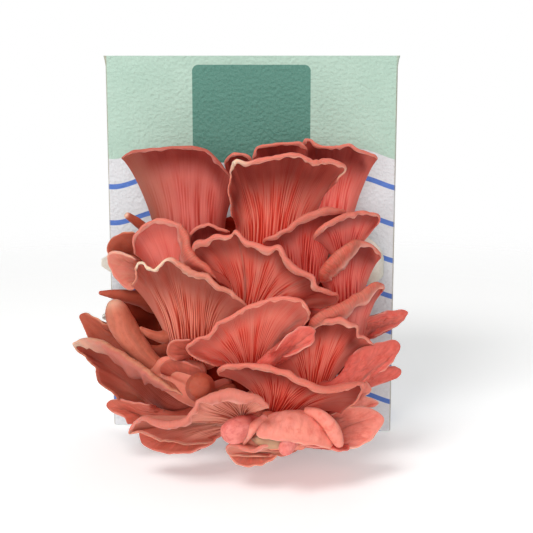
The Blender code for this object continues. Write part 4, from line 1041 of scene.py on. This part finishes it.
          [(127, 424, 68), (125, 416, 67), (118, 413, 65), (110, 409, 63), (107, 405, 62),
           (112, 401, 62), (122, 401, 65), (136, 404, 69), (150, 406, 73)],
          (162, 418, 58), radius=3.5, spread=6.0, tone="ember", slot="russet"),
    petal("left_inner_lobe",
          [(160, 373, 65), (162, 366, 66), (169, 361, 67), (179, 362, 68), (190, 365, 69), (199, 369, 69),
           (203, 376, 68)],
          (198, 388, 60), radius=3.0, flare=0.3, tone="ember", slot="russet"),
]


# a finger's lumps round it and along it: how many waves, the slowest and the fastest
LUMPS_ROUND = (2, 1.0, 1.01)
LUMPS_ALONG = (3, 1.0, 5.0)
PLAIN_LUMPS = 0.35
# a finger's sides, its rings, those of its tip and the degrees by which that is rounded
FINGER_SIDES = 32
FINGER_RINGS = 40
TIP_RINGS = 10
TIP_TURN = 88.0


def finger(name, path, tone="umber", lumps=PLAIN_LUMPS, flat=1.0, tip=0.0):
    """One finger's measures; `tip` is how pale its end is."""
    name = "mushroom_" + name
    return {"name": name, "path": path, "tone": tone, "lumps": lumps, "flat": flat, "tip": tip}


# every finger and button: its centre line as (photo column, photo row, distance in
# front of the face, radius), from the trunk out to the rounded tip
FINGERS = [
    finger("left_finger",
           [(158, 258, 14, 2.8), (149, 234, 20, 2.6), (138, 223, 24, 2.4), (128, 216, 28, 2.1)], tip=0.8),
    finger("left_spur",
           [(158, 306, 18, 4.4), (142, 299, 27, 4.4), (127, 296, 34, 3.6), (112, 294, 38, 2.4),
            (101, 293, 40, 1.3)]),
    finger("left_stem",
           [(190, 382, 46, 4.2), (169, 374, 53, 5.2), (149, 361, 55, 6.2), (134, 344, 55, 5.8),
            (122, 326, 55, 6.4), (116, 311, 56, 6.3)], tone="clay", lumps=1.6, flat=1.15, tip=0.45),
    finger("left_inner_stem",
           [(192, 334, 28, 3.2), (176, 336, 38, 3.4), (161, 337, 46, 3.0), (150, 334, 50, 2.4),
            (141, 329, 52, 1.5)], tone="clay", lumps=0.8),
    finger("ball",
           [(212, 396, 60, 3.6), (205, 390, 76, 4.4), (201, 388, 84, 6.8), (200, 387, 91, 7.0)]),
    finger("button",
           [(256, 418, 78, 3.4), (249, 422, 92, 4.2), (241, 427, 101, 6.0), (234, 430, 105, 6.7)],
           tone="bud", lumps=0.8),
    finger("bottom_bud",
           [(300, 440, 84, 2.2), (296, 441, 98, 2.4), (289, 445, 108, 3.6), (286, 448, 110, 3.8)],
           tone="bud"),
]

# what the finish reads on flesh that is skin all over
PLAIN_SKIN = {
    "reach": 0.2, "shade": 1.0, "skin": 1.0,
    "fold": 0.0, "lip": 0.0, "pale": 0.0, "dark": 0.0, "flank": 0.0,
}


def build_finger(spec, seed):
    """A round-tipped body of rings along a centre line that starts at the trunk."""
    rng = np.random.default_rng(seed)
    line = np.array([[*sight(*spot[:3]), spot[3]] for spot in spec["path"]])
    start = trunk_root(line[0, :3], line[0, 3])[0]
    line = np.vstack([[*start, line[0, 3]], line])
    points = Margin(line).at(np.linspace(0.0, 1.0, FINGER_RINGS))
    centres = points[:, :3]
    onward = unit(centres[-1] - centres[-2])
    tip = points[-1, 3]
    rise = np.radians(np.linspace(0.0, TIP_TURN, TIP_RINGS + 1))[1:, None]
    centres = np.vstack([centres, centres[-1] + onward * tip * np.sin(rise)])
    radii = np.concatenate([points[:, 3], tip * np.cos(rise[:, 0])])
    ahead = unit(np.gradient(centres, axis=0))
    side = unit(np.cross(ahead, (0.0, 0.0, 1.0)))
    other = np.cross(ahead, side)
    turn = np.linspace(0.0, 1.0, FINGER_SIDES, endpoint=False)
    along = np.linspace(0.0, 1.0, len(centres))[:, None]
    lumps = waves(rng, turn[None, :] + along * 0.2, *LUMPS_ROUND) + waves(rng, along, *LUMPS_ALONG)
    swell = 1.0 + 0.06 * lumps * spec["lumps"] / PLAIN_LUMPS
    angle = (turn * math.tau)[None, :, None]
    outward = side[:, None] * np.cos(angle) * spec["flat"] + other[:, None] * np.sin(angle)
    spots = centres[:, None] + outward * (radii[:, None] * swell)[..., None]
    index = np.arange(swell.size).reshape(swell.shape)
    faces = quads(np.concatenate([index, index[:, :1]], axis=1))
    faces += [index[-1].tolist(), index[0][::-1].tolist()]
    reach = np.broadcast_to(along, swell.shape).reshape(-1)
    length = np.linalg.norm(np.diff(centres, axis=0), axis=1).sum()
    across = np.broadcast_to(turn * math.tau * radii.mean(), swell.shape).reshape(-1)
    sheet = np.stack([across, reach * length], axis=1) * MAP_UNIT
    values = {key: np.full(swell.size, number) for key, number in PLAIN_SKIN.items()}
    values["reach"] = reach * (1.3 if spec["tip"] else 0.85)
    values["pale"] = spec["tip"] * smooth_step(reach, 0.60, 0.95)
    return make_mesh(spec["name"], spots.reshape(-1, 3), faces, values, sheet)


# the fused flesh behind the outer fans, which fills the hollows between them: photo
# column, photo row, distance in front of the face and half sizes
SIDE_LOBES = [
    ((172, 295, 6), (18.0, 6.0, 20.0)),
    ((178, 348, 16), (20.0, 13.0, 22.0)),
    ((214, 368, 34), (25.0, 16.0, 18.0)),
    ((320, 350, 10), (17.0, 9.0, 22.0)),
    ((306, 387, 24), (20.0, 13.0, 13.0)),
    ((314, 408, 28), (18.0, 14.0, 11.0)),
    ((316, 304, 10), (11.0, 7.0, 12.0)),
    ((229, 236, 9), (10.0, 7.0, 12.0)),
    ((144, 314, 10), (13.0, 9.0, 16.0)),
]

# lumpy flesh where stems have fused, and lesser folds that belong to a fan: a name, its
# node, its slot's tone, its own tone, and chains of balls as (photo column, photo row,
# distance in front of the face, radius)
KNOTS = [
    ("left_foot_knot", "cluster_trunk", "russet", "russet",
     [[(152, 366, 52, 5.0), (160, 376, 57, 5.4), (172, 384, 61, 5.4), (184, 391, 63, 6.0),
       (194, 396, 62, 6.0)],
      [(158, 371, 59, 3.4), (163, 363, 61, 3.2), (171, 361, 62, 2.8), (180, 364, 61, 3.4),
       (196, 372, 56, 6.0)],
      [(172, 371, 62, 3.0), (180, 374, 64, 3.6), (190, 378, 64, 4.4)]]),
    ("bottom_foot_knot", "cluster_trunk", "russet", "russet",
     [[(240, 443, 90, 4.0), (252, 441, 96, 4.4), (268, 441, 99, 4.8), (284, 441, 98, 4.6),
       (300, 442, 94, 4.2)],
      [(268, 420, 80, 5.0), (268, 430, 88, 5.0), (268, 440, 94, 5.0)]]),
    ("bottom_centre_left_fold", "mushroom_bottom_centre", "rose", "blush",
     [[(264, 419, 98, 2.4), (254, 427, 103, 2.8), (247, 436, 105, 2.3), (244, 443, 105, 1.2)]]),
    ("bottom_centre_right_fold", "mushroom_bottom_centre", "rose", "blush",
     [[(308, 411, 95, 2.4), (319, 415, 99, 3.2), (329, 424, 102, 3.8), (335, 434, 102, 3.8),
       (339, 443, 100, 2.6)]]),
    ("bottom_centre_underside", "mushroom_bottom_centre", "rose", "beige",
     [[(253, 439, 101, 1.2), (262, 441, 103, 3.0), (274, 442, 104, 3.6), (284, 441, 104, 3.0),
       (292, 438, 103, 1.2)]]),
]
BALLS_IN_CHAIN = 22

# how finely the balls and lobes are melted together, and how often the result is smoothed
KNOT_MELT = (0.7, 8)
TRUNK_MELT = (1.6, 6)
# how far in front of the carton's face they stay
LEAST_OUT = 0.8

# the trunk's knobbly skin: how many ripples, their shortest and longest, and their height
KNOBS = 8
KNOB_LENGTHS = (8.0, 22.0)
KNOB_HEIGHT = 0.75
# how far out from its middle the trunk's painted shade changes from dark red to dark brown
TRUNK_MIDDLE = 4.0
TRUNK_SIDES = (34.0, 56.0)

# where the random ripples start
FAN_SEED = 11
FINGER_SEED = 71
TRUNK_SEED = 5
FILM_SEED = 5


def mesh_of(name, bm):
    mesh = bpy.data.meshes.new(name)
    bm.to_mesh(mesh)
    bm.free()
    return mesh


def settled(item, name):
    """A plain mesh object with the item's modifiers worked in; the item is removed."""
    bpy.context.view_layer.update()
    graph = bpy.context.evaluated_depsgraph_get()
    mesh = bpy.data.meshes.new_from_object(item.evaluated_get(graph))
    mesh.name = name
    bpy.data.objects.remove(item)
    return add(name, mesh)


def melted(name, balls, voxel, rounds):
    """A soft body of balls or longer lobes that run together."""
    bm = bmesh.new()
    for centre, half in balls:
        place = Matrix.Translation([value * MM for value in centre])
        size = Matrix.Diagonal([value * MM for value in half]).to_4x4()
        bmesh.ops.create_icosphere(bm, subdivisions=3, radius=1.0, matrix=place @ size)
    for vertex in bm.verts:
        vertex.co.y = min(vertex.co.y, (FACE_Y - LEAST_OUT) * MM)
    item = add(name, mesh_of(name, bm))
    skin = item.modifiers.new("skin", "REMESH")
    skin.mode = "VOXEL"
    skin.voxel_size = voxel * MM
    soft = item.modifiers.new("soft", "SMOOTH")
    soft.iterations = rounds
    body = settled(item, name)
    body.data.shade_smooth()
    for key, number in PLAIN_SKIN.items():
        mark(body.data, key, np.full(len(body.data.vertices), number))
    return body


def build_knot(name, chains):
    balls = []
    for chain in chains:
        line = Margin([[*sight(*spot[:3]), spot[3]] for spot in chain])
        balls += [(spot[:3], (spot[3],) * 3) for spot in line.at(np.linspace(0.0, 1.0, BALLS_IN_CHAIN))]
    return melted(name, balls, *KNOT_MELT)


def build_trunk():
    """The fused foot: soft lobes that run together, and the neck through the window."""
    lobes = TRUNK_LOBES + [(sight(*spot), half) for spot, half in SIDE_LOBES]
    for x in range(-NECK_REACH, NECK_REACH + 1, NECK_SPACING):
        lobes.append(((x, FACE_Y - NECK_LOBE[1], WINDOW_HEIGHT), NECK_LOBE))
    body = melted("cluster_trunk_flesh", lobes, *TRUNK_MELT)
    vertices = body.data.vertices
    spots = np.zeros(len(vertices) * 3)
    normals = np.zeros(len(vertices) * 3)
    vertices.foreach_get("co", spots)
    vertices.foreach_get("normal", normals)
    spots = spots.reshape(-1, 3) / MM
    rng = np.random.default_rng(TRUNK_SEED)
    lumps = np.zeros(len(vertices))
    for _ in range(KNOBS):
        way = unit(rng.normal(size=3)) * math.tau / rng.uniform(*KNOB_LENGTHS)
        lumps += np.sin(spots @ way + rng.uniform(0.0, math.tau))
    clear = smooth_step(FACE_Y - spots[:, 1], 1.0, 6.0)
    moved = spots + normals.reshape(-1, 3) * (lumps * KNOB_HEIGHT * clear)[:, None]
    vertices.foreach_set("co", (moved * MM).reshape(-1))
    outer = smooth_step(np.abs(moved[:, 0] - TRUNK_MIDDLE), *TRUNK_SIDES).astype(np.float32)
    body.data.attributes["flank"].data.foreach_set("value", outer)
    body.data.update()
    return body


def build_cluster():
    tones = {tone: Flesh(tone).made() for tone in FLESH}
    for seed, spec in enumerate(FANS, FAN_SEED):
        dress(Fan(spec, seed).build(), tones[spec["tone"]], spec["name"])
    for seed, spec in enumerate(FINGERS, FINGER_SEED):
        dress(build_finger(spec, seed), tones[spec["tone"]], spec["name"])
    # the trunk is finished in painted shade
    dress(build_trunk(), tones["hollow"], "cluster_trunk")
    for name, node, slot, tone, chains in KNOTS:
        dress(build_knot(name, chains), tones[tone], node)


# the carton's print: a mint field over a grey one with a waved edge, evenly spaced
# blue wave lines on the grey, counted from well below, and a plain dark green label
PRINT_EDGE = 163.0
WAVE_LENGTH = 56.0
WAVE_HEIGHT = 3.4
WAVE_SHIFT = 10.0
LINE_TOP = 147.0
LINE_SPACING = 21.0
LINE_HALF = 1.5
LINES_BELOW = 20.0
LABEL_CENTRE = (0.5, 185.5)
LABEL_HALF = (33.5, 27.5)
LABEL_CORNER = 3.6
PRINT_BLUR = 0.18
# colours of the print, the board, the film and the straw, mostly as two that mix
MINT = ("A6C4B3", "BCD6C6")
GREY = ("D4D5D9", "E2E2E4")
GREEN = ("41796A", "5A9181")
BLUE = "4A72C4"
GRAIN = "8F9C96"
WORN_FOLD = "A89F8C"
CUT_BOARD = ("A89C84", "C9BFA9")
FLAP_BOARD = ("CFC8B8", "F0ECE2")
FLAP_STAINS = "B9AF9C"
FILM_COLOURS = ("D9D6CC", "F4F3EE")
STRAW = ("6E5636", "C9AE7C")
STRAW_GROWTH = "E8E2D6"


def printed_board():
    """Matt printed board; raw grey board shows where it is cut and on its inside."""
    paint = Paint("printed_board")
    flat = paint.place("print", (1.0 / MAP_UNIT, 1.0 / MAP_UNIT, 1.0))
    across, up, _ = paint.parts(flat)
    wave = paint.math("SINE", paint.times(paint.plus(across, WAVE_SHIFT), math.tau / WAVE_LENGTH))
    level = paint.minus(up, paint.times(wave, WAVE_HEIGHT))
    field = paint.below(level, PRINT_EDGE, PRINT_BLUR)
    cell = paint.plus(paint.minus(level, LINE_TOP + LINE_SPACING / 2.0), LINE_SPACING * LINES_BELOW)
    off_line = paint.size(paint.minus(paint.math("MODULO", cell, LINE_SPACING), LINE_SPACING / 2.0))
    line = paint.below(off_line, LINE_HALF, PRINT_BLUR)
    line = paint.times(line, paint.math("LESS_THAN", level, LINE_TOP + LINE_HALF * 2.0))
    outside = []
    for spot, centre, half in zip((across, up), LABEL_CENTRE, LABEL_HALF):
        past = paint.minus(paint.size(paint.minus(spot, centre)), half - LABEL_CORNER)
        outside.append(paint.math("MAXIMUM", past, 0.0))
    label = paint.below(paint.distance(*outside), LABEL_CORNER, PRINT_BLUR)
    fibres = paint.noise(flat, 1.3, 4.0)
    patches = paint.noise(paint.place("print"), 4.0, 3.0)
    pebbles = paint.noise(flat, 0.50, 2.0, 0.45)
    colour = paint.mix(field, paint.between(patches, MINT), paint.between(patches, GREY))
    colour = paint.mix(line, colour, linear(BLUE))
    colour = paint.mix(label, colour, paint.between(fibres, GREEN))
    colour = paint.lay(linear(GRAIN), colour, fibres, 0.25, 0.75, 0.12)
    # folds are a little worn, where the side meets the front
    fold = paint.size(paint.minus(paint.size(across), CARTON_WIDTH / 2.0))
    worn = paint.times(paint.step(fold, 1.1, 0.3), paint.step(patches, 0.30, 0.60, 0.35, 0.85))
    colour = paint.mix(worn, colour, linear(WORN_FOLD))
    colour = paint.mix(paint.value("raw"), colour, paint.between(fibres, CUT_BOARD))
    normal = paint.bump(pebbles, 0.0012, 0.75, paint.bump(fibres, 0.0002, 0.3))
    return paint.finish(colour, 0.55, normal, 0.4)


def raw_board():
    paint = Paint("raw_board")
    fibres = paint.noise(paint.place(), 700.0, 5.0, 0.65)
    patches = paint.noise(paint.place(), 70.0, 3.0)
    colour = paint.lay(linear(FLAP_STAINS), paint.between(fibres, FLAP_BOARD), patches, 0.40, 0.75, 0.35)
    return paint.finish(colour, 0.75, paint.bump(fibres, 0.0003, 0.4), 0.25)


def film_material():
    paint = Paint("film")
    creases = paint.noise(paint.place(), 260.0, 3.0)
    paint.shader.inputs["Transmission Weight"].default_value = 0.45
    return paint.finish(paint.between(creases, FILM_COLOURS), 0.32, paint.bump(creases, 0.0008, 0.7), 0.5)


def straw():
    paint = Paint("straw")
    fibres = paint.noise(paint.place("", (1.0, 1.0, 6.0)), 220.0, 5.0, 0.7)
    lumps = paint.noise(paint.place(), 60.0, 3.0)
    colour = paint.between(paint.step(fibres, 0.35, 0.65), STRAW)
    colour = paint.lay(linear(STRAW_GROWTH), colour, lumps, 0.45, 0.70, 0.5)
    return paint.finish(colour, 0.85, paint.bump(fibres, 0.002, 0.8), 0.2)


def rounded(half_width, half_height, corner, steps):
    """A rectangle's outline with round corners: two places, and the corner as two signs."""
    outline = []
    for quarter, (side, rise) in enumerate(((1, -1), (1, 1), (-1, 1), (-1, -1))):
        for k in range(steps + 1):
            a = math.radians(-90.0 + 90.0 * quarter + 90.0 / steps * k)
            first = side * (half_width - corner) + corner * math.cos(a)
            second = rise * (half_height - corner) + corner * math.sin(a)
            outline.append((first, second, side, rise))
    return outline


# the carton's outline goes in or out by so much at these heights
CARTON_LEVELS = [
    (0.0, -0.9), (0.25, -0.35), (0.9, 0.0), (70.0, 0.0), (140.0, 0.0),
    (CARTON_HEIGHT - TOP_FLARE_HEIGHT, 0.0), (CARTON_HEIGHT - 2.5, TOP_FLARE * 0.45),
    (CARTON_HEIGHT, TOP_FLARE),
]


def carton_rings():
    """The carton's outline at each height; its sides flare at the top, its front and back don't."""
    outline = rounded(CARTON_WIDTH / 2.0, CARTON_DEPTH / 2.0, CARTON_CORNER, 3)
    return [[(x + side * out, y + rise * min(out, 0.0), height) for x, y, side, rise in outline]
            for height, out in CARTON_LEVELS]


def window_rings():
    outline = rounded(WINDOW_HALF_WIDTH, WINDOW_HALF_HEIGHT, WINDOW_CORNER, 6)
    return [[(x, y, WINDOW_HEIGHT + z) for x, z, *_ in outline] for y in (FACE_Y - 5.0, FACE_Y + 5.0)]


def box_rings(half_x, half_y, low, high):
    return [[(-half_x, -half_y, z), (half_x, -half_y, z), (half_x, half_y, z), (-half_x, half_y, z)]
            for z in (low, high)]


def shell(name, rings):
    """A closed body through rings of points."""
    bm = bmesh.new()
    made = [[bm.verts.new([value * MM for value in spot]) for spot in ring] for ring in rings]
    count = len(made[0])
    for lower, upper in zip(made, made[1:]):
        for k in range(count):
            following = (k + 1) % count
            bm.faces.new((lower[k], lower[following], upper[following], upper[k]))
    bm.faces.new(list(reversed(made[0])))
    bm.faces.new(made[-1])
    bmesh.ops.recalc_face_normals(bm, faces=bm.faces)
    return add(name, mesh_of(name, bm))


def cut(item, name, rings):
    tool = shell(name, rings)
    step = item.modifiers.new(name, "BOOLEAN")
    step.operation = "DIFFERENCE"
    step.solver = "EXACT"
    step.object = tool
    return tool


LID_DROP = 0.8
LID_SLIT = 0.5
LID_THICKNESS = 1.2
LID_EDGE = 0.4


def build_carton():
    """The folded carton: walls with a cut window, and a tucked lid a little below their top."""
    half_x, half_y = CARTON_WIDTH / 2.0 - BOARD, CARTON_DEPTH / 2.0 - BOARD
    walls = shell("carton_walls", carton_rings())
    room = cut(walls, "room", box_rings(half_x, half_y, BOARD, CARTON_HEIGHT + 5.0))
    window = cut(walls, "window", window_rings())
    carton = settled(walls, "carton_board")
    bpy.data.objects.remove(room)
    bpy.data.objects.remove(window)
    top = CARTON_HEIGHT - LID_DROP
    rings = box_rings(half_x - LID_SLIT, half_y - LID_SLIT, top - LID_THICKNESS, top)
    lid = shell("carton_lid", rings)
    edge = lid.modifiers.new("edge", "BEVEL")
    edge.width = LID_EDGE * MM
    edge.segments = 3
    board = printed_board()
    for piece in (carton, settled(lid, "carton_lid")):
        map_print(piece)
        dress(piece, board, "carton")
    for name, side, bend in (("window_flap_right", 1.0, RIGHT_FLAP), ("window_flap_left", -1.0, LEFT_FLAP)):
        dress(build_flap(name, side, bend), raw_board(), "carton")


# board is raw on the carton's inside, where the window is cut and on the top edge: how
# far from the outline, the window, the bottom and the top such a face's middle lies
INSIDE = 0.7
WINDOW_CUT = 0.15
WINDOW_MARGIN = 0.5
FLOOR = 0.5
END = 1.0
TOP_EDGE = 0.5
# how far up a face looks that is level
LEVEL = 0.7
# where the back's print starts on the map, so that it doesn't repeat the front's
BACK_SHIFT = 400.0


def map_print(item):
    """The print's map, wrapped round the carton in millimetres, and where board is raw."""
    mesh = item.data
    layer = mesh.uv_layers.new(name="print")
    raw = mesh.attributes.new("raw", "FLOAT", "FACE")
    half_x, half_y = CARTON_WIDTH / 2.0, CARTON_DEPTH / 2.0
    for face in mesh.polygons:
        x, y, z = face.center / MM
        inside = abs(x) < half_x - INSIDE and abs(y) < half_y - INSIDE and z > FLOOR
        edge = abs(y) < half_y - WINDOW_CUT and abs(x) < WINDOW_HALF_WIDTH + WINDOW_MARGIN and z > END
        inner = (inside or edge) and z < CARTON_HEIGHT - END
        top = face.normal.z > LEVEL and z > CARTON_HEIGHT - TOP_EDGE
        raw.data[face.index].value = 1.0 if inner or top else 0.0
        for loop in face.loop_indices:
            px, py, pz = mesh.vertices[mesh.loops[loop].vertex_index].co / MM
            if abs(face.normal.z) > LEVEL:
                spot = (px, CARTON_HEIGHT + py + half_y)
            elif abs(face.normal.x) > abs(face.normal.y):
                spot = (math.copysign(1.0, face.normal.x) * (half_x + py + half_y), pz)
            else:
                spot = (px + (0.0 if face.normal.y < 0.0 else BACK_SHIFT), pz)
            layer.data[loop].uv = [value * MAP_UNIT for value in spot]


# the window flaps, bent out and round: distance from the middle, distance in front
# of the face, lower edge and upper edge
RIGHT_FLAP = [
    (44.6, -0.8, 85.0, 111.0), (46.0, 3.0, 85.5, 111.5), (50.0, 8.0, 86.5, 113.5),
    (58.0, 13.0, 88.5, 117.0), (66.0, 16.0, 91.0, 118.5), (73.0, 15.0, 93.5, 113.0),
    (76.0, 11.0, 96.0, 106.0),
]
LEFT_FLAP = [
    (44.6, -0.8, 85.0, 111.0), (46.0, 3.0, 85.5, 111.0), (51.0, 8.0, 86.5, 111.0),
    (60.0, 11.0, 88.0, 111.0), (70.0, 12.0, 91.0, 109.5), (79.0, 12.5, 95.5, 106.5),
    (84.5, 14.0, 99.5, 103.5),
]
FLAP_STEPS = 48
FLAP_BANDS = 24


def sideways(line):
    """The direction across a strip, seen from above, at each step of its line."""
    ahead = unit(np.gradient(line[:, :2], axis=0))
    return np.stack([-ahead[:, 1], ahead[:, 0]], axis=1)


def build_flap(name, side, bend):
    """One window flap: a strip of board, bent and curled, with a soft torn end."""
    line = Margin(bend).at(np.linspace(0.0, 1.0, FLAP_STEPS))
    across = sideways(line) * FLAP_THICKNESS / 2.0
    share = np.linspace(0.0, 1.0, FLAP_BANDS)[None, :]
    heights = line[:, 2:3] * (1.0 - share) + line[:, 3:4] * share
    faces = []
    for turn in (1.0, -1.0):
        x, out = (line[:, :2] + turn * across).T[..., None]
        faces.append(np.stack(np.broadcast_arrays(side * x, FACE_Y - out, heights), axis=-1))
    return thin_sheet(name, *faces)


# a scrap of the bag's film that hangs out below the left flap: centre as (across,
# distance in front of the face, height), then half its width there
FILM = [
    ((-31.0, -1.2, 84.1), 0.4), ((-37.0, 1.8, 84.0), 0.6), ((-49.0, 5.0, 81.5), 2.4),
    ((-63.0, 7.5, 78.5), 3.4), ((-75.0, 9.5, 72.5), 4.2), ((-82.0, 11.2, 69.6), 3.0),
    ((-85.2, 12.0, 69.3), 1.2),
]
FILM_THICKNESS = 0.5
FILM_STEPS = 60
FILM_BANDS = 14
# its ripples, as how many waves, the slowest and the fastest, and their height
FILM_CREASES = (4, 3.0, 9.0)
FILM_WAVES = (2, 1.0, 3.0)
FILM_RIPPLE = 0.5


def build_film():
    """A crumpled scrap of thin film."""
    rng = np.random.default_rng(FILM_SEED)
    line = Margin([(*centre, half) for centre, half in FILM]).at(np.linspace(0.0, 1.0, FILM_STEPS))
    across = sideways(line)
    share = np.linspace(-1.0, 1.0, FILM_BANDS)[None, :]
    along = np.linspace(0.0, 1.0, FILM_STEPS)[:, None]
    ripple = waves(rng, along + share * 0.12, *FILM_CREASES) * FILM_RIPPLE
    ripple = ripple + waves(rng, share * 0.5 + along, *FILM_WAVES) * FILM_RIPPLE
    heights = line[:, 2:3] + line[:, 3:4] * share
    faces = []
    for turn in (0.5, -0.5):
        shift = ripple * smooth_step(along, 0.1, 0.4) + turn * FILM_THICKNESS * 0.5
        x = line[:, 0:1] + across[:, 0:1] * shift
        out = line[:, 1:2] + across[:, 1:2] * shift
        faces.append(np.stack([x, FACE_Y - out, heights], axis=-1))
    dress(thin_sheet("bag_film_scrap", *faces), film_material(), "bag_film")


FLOOR_RADIUS = 0.9
# the floor fades between these distances from the middle, in metres
FLOOR_FADE = (0.85, 0.35)
FLOOR_GLOW = 0.30
FLOOR_COLOUR = "FAFAF9"
WHITE = (1.0, 1.0, 1.0, 1.0)


def build_floor():
    """A plain pale floor that fades into the background before its edge."""
    bm = bmesh.new()
    bmesh.ops.create_circle(bm, cap_ends=True, segments=96, radius=FLOOR_RADIUS)
    floor = add("floor", mesh_of("floor", bm))
    paint = Paint("floor")
    x, y, _ = paint.parts(paint.place())
    paint.feed(paint.shader.inputs["Alpha"], paint.step(paint.distance(x, y), *FLOOR_FADE))
    paint.shader.inputs["Emission Color"].default_value = WHITE
    paint.shader.inputs["Emission Strength"].default_value = FLOOR_GLOW
    floor.data.materials.append(paint.finish(linear(FLOOR_COLOUR), 0.9, None, 0.1))


WORLD_LIGHT = 0.26
# round soft lights: name, place, what it is aimed at, width and watts
SOFT_LIGHTS = [
    ("key", (-0.45, -0.95, 1.35), (0.0, -0.08, 0.10), 0.70, 12.5),
    ("front", (-0.15, -1.70, 0.45), (0.0, -0.08, 0.10), 1.10, 10.5),
    ("low", (0.25, -1.20, 0.14), (0.0, -0.10, 0.08), 0.60, 1.3),
    ("back", (0.20, 1.20, 1.10), (0.0, 0.0, 0.10), 0.90, 5.0),
]


def build_lights():
    """A white world that lights less than it shows, and the soft lights."""
    world = bpy.data.worlds.new("studio")
    world.use_nodes = True
    nodes, links = world.node_tree.nodes, world.node_tree.links
    nodes["Background"].inputs["Color"].default_value = WHITE
    seen = nodes.new("ShaderNodeLightPath")
    level = nodes.new("ShaderNodeMapRange")
    level.inputs["To Min"].default_value = WORLD_LIGHT
    level.inputs["To Max"].default_value = 1.0
    links.new(seen.outputs["Is Camera Ray"], level.inputs["Value"])
    links.new(level.outputs["Result"], nodes["Background"].inputs["Strength"])
    bpy.context.scene.world = world
    for name, place, target, size, watts in SOFT_LIGHTS:
        data = bpy.data.lights.new(name, "AREA")
        data.shape = "DISK"
        data.size = size
        data.energy = watts
        light = add(name, data)
        light.location = place
        forward = unit(np.array(target) - np.array(place))
        right = unit(np.cross(forward, (0.0, 0.0, 1.0)))
        light.rotation_euler = looking(right, forward, np.cross(right, forward)).to_euler()


def dress_block():
    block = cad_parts["substrate_block"]
    block.data.materials.clear()
    block.data.materials.append(straw())


def main():
    bpy.context.scene.view_settings.view_transform = "Standard"
    build_camera()
    build_lights()
    build_floor()
    build_carton()
    build_film()
    dress_block()
    build_cluster()


main()
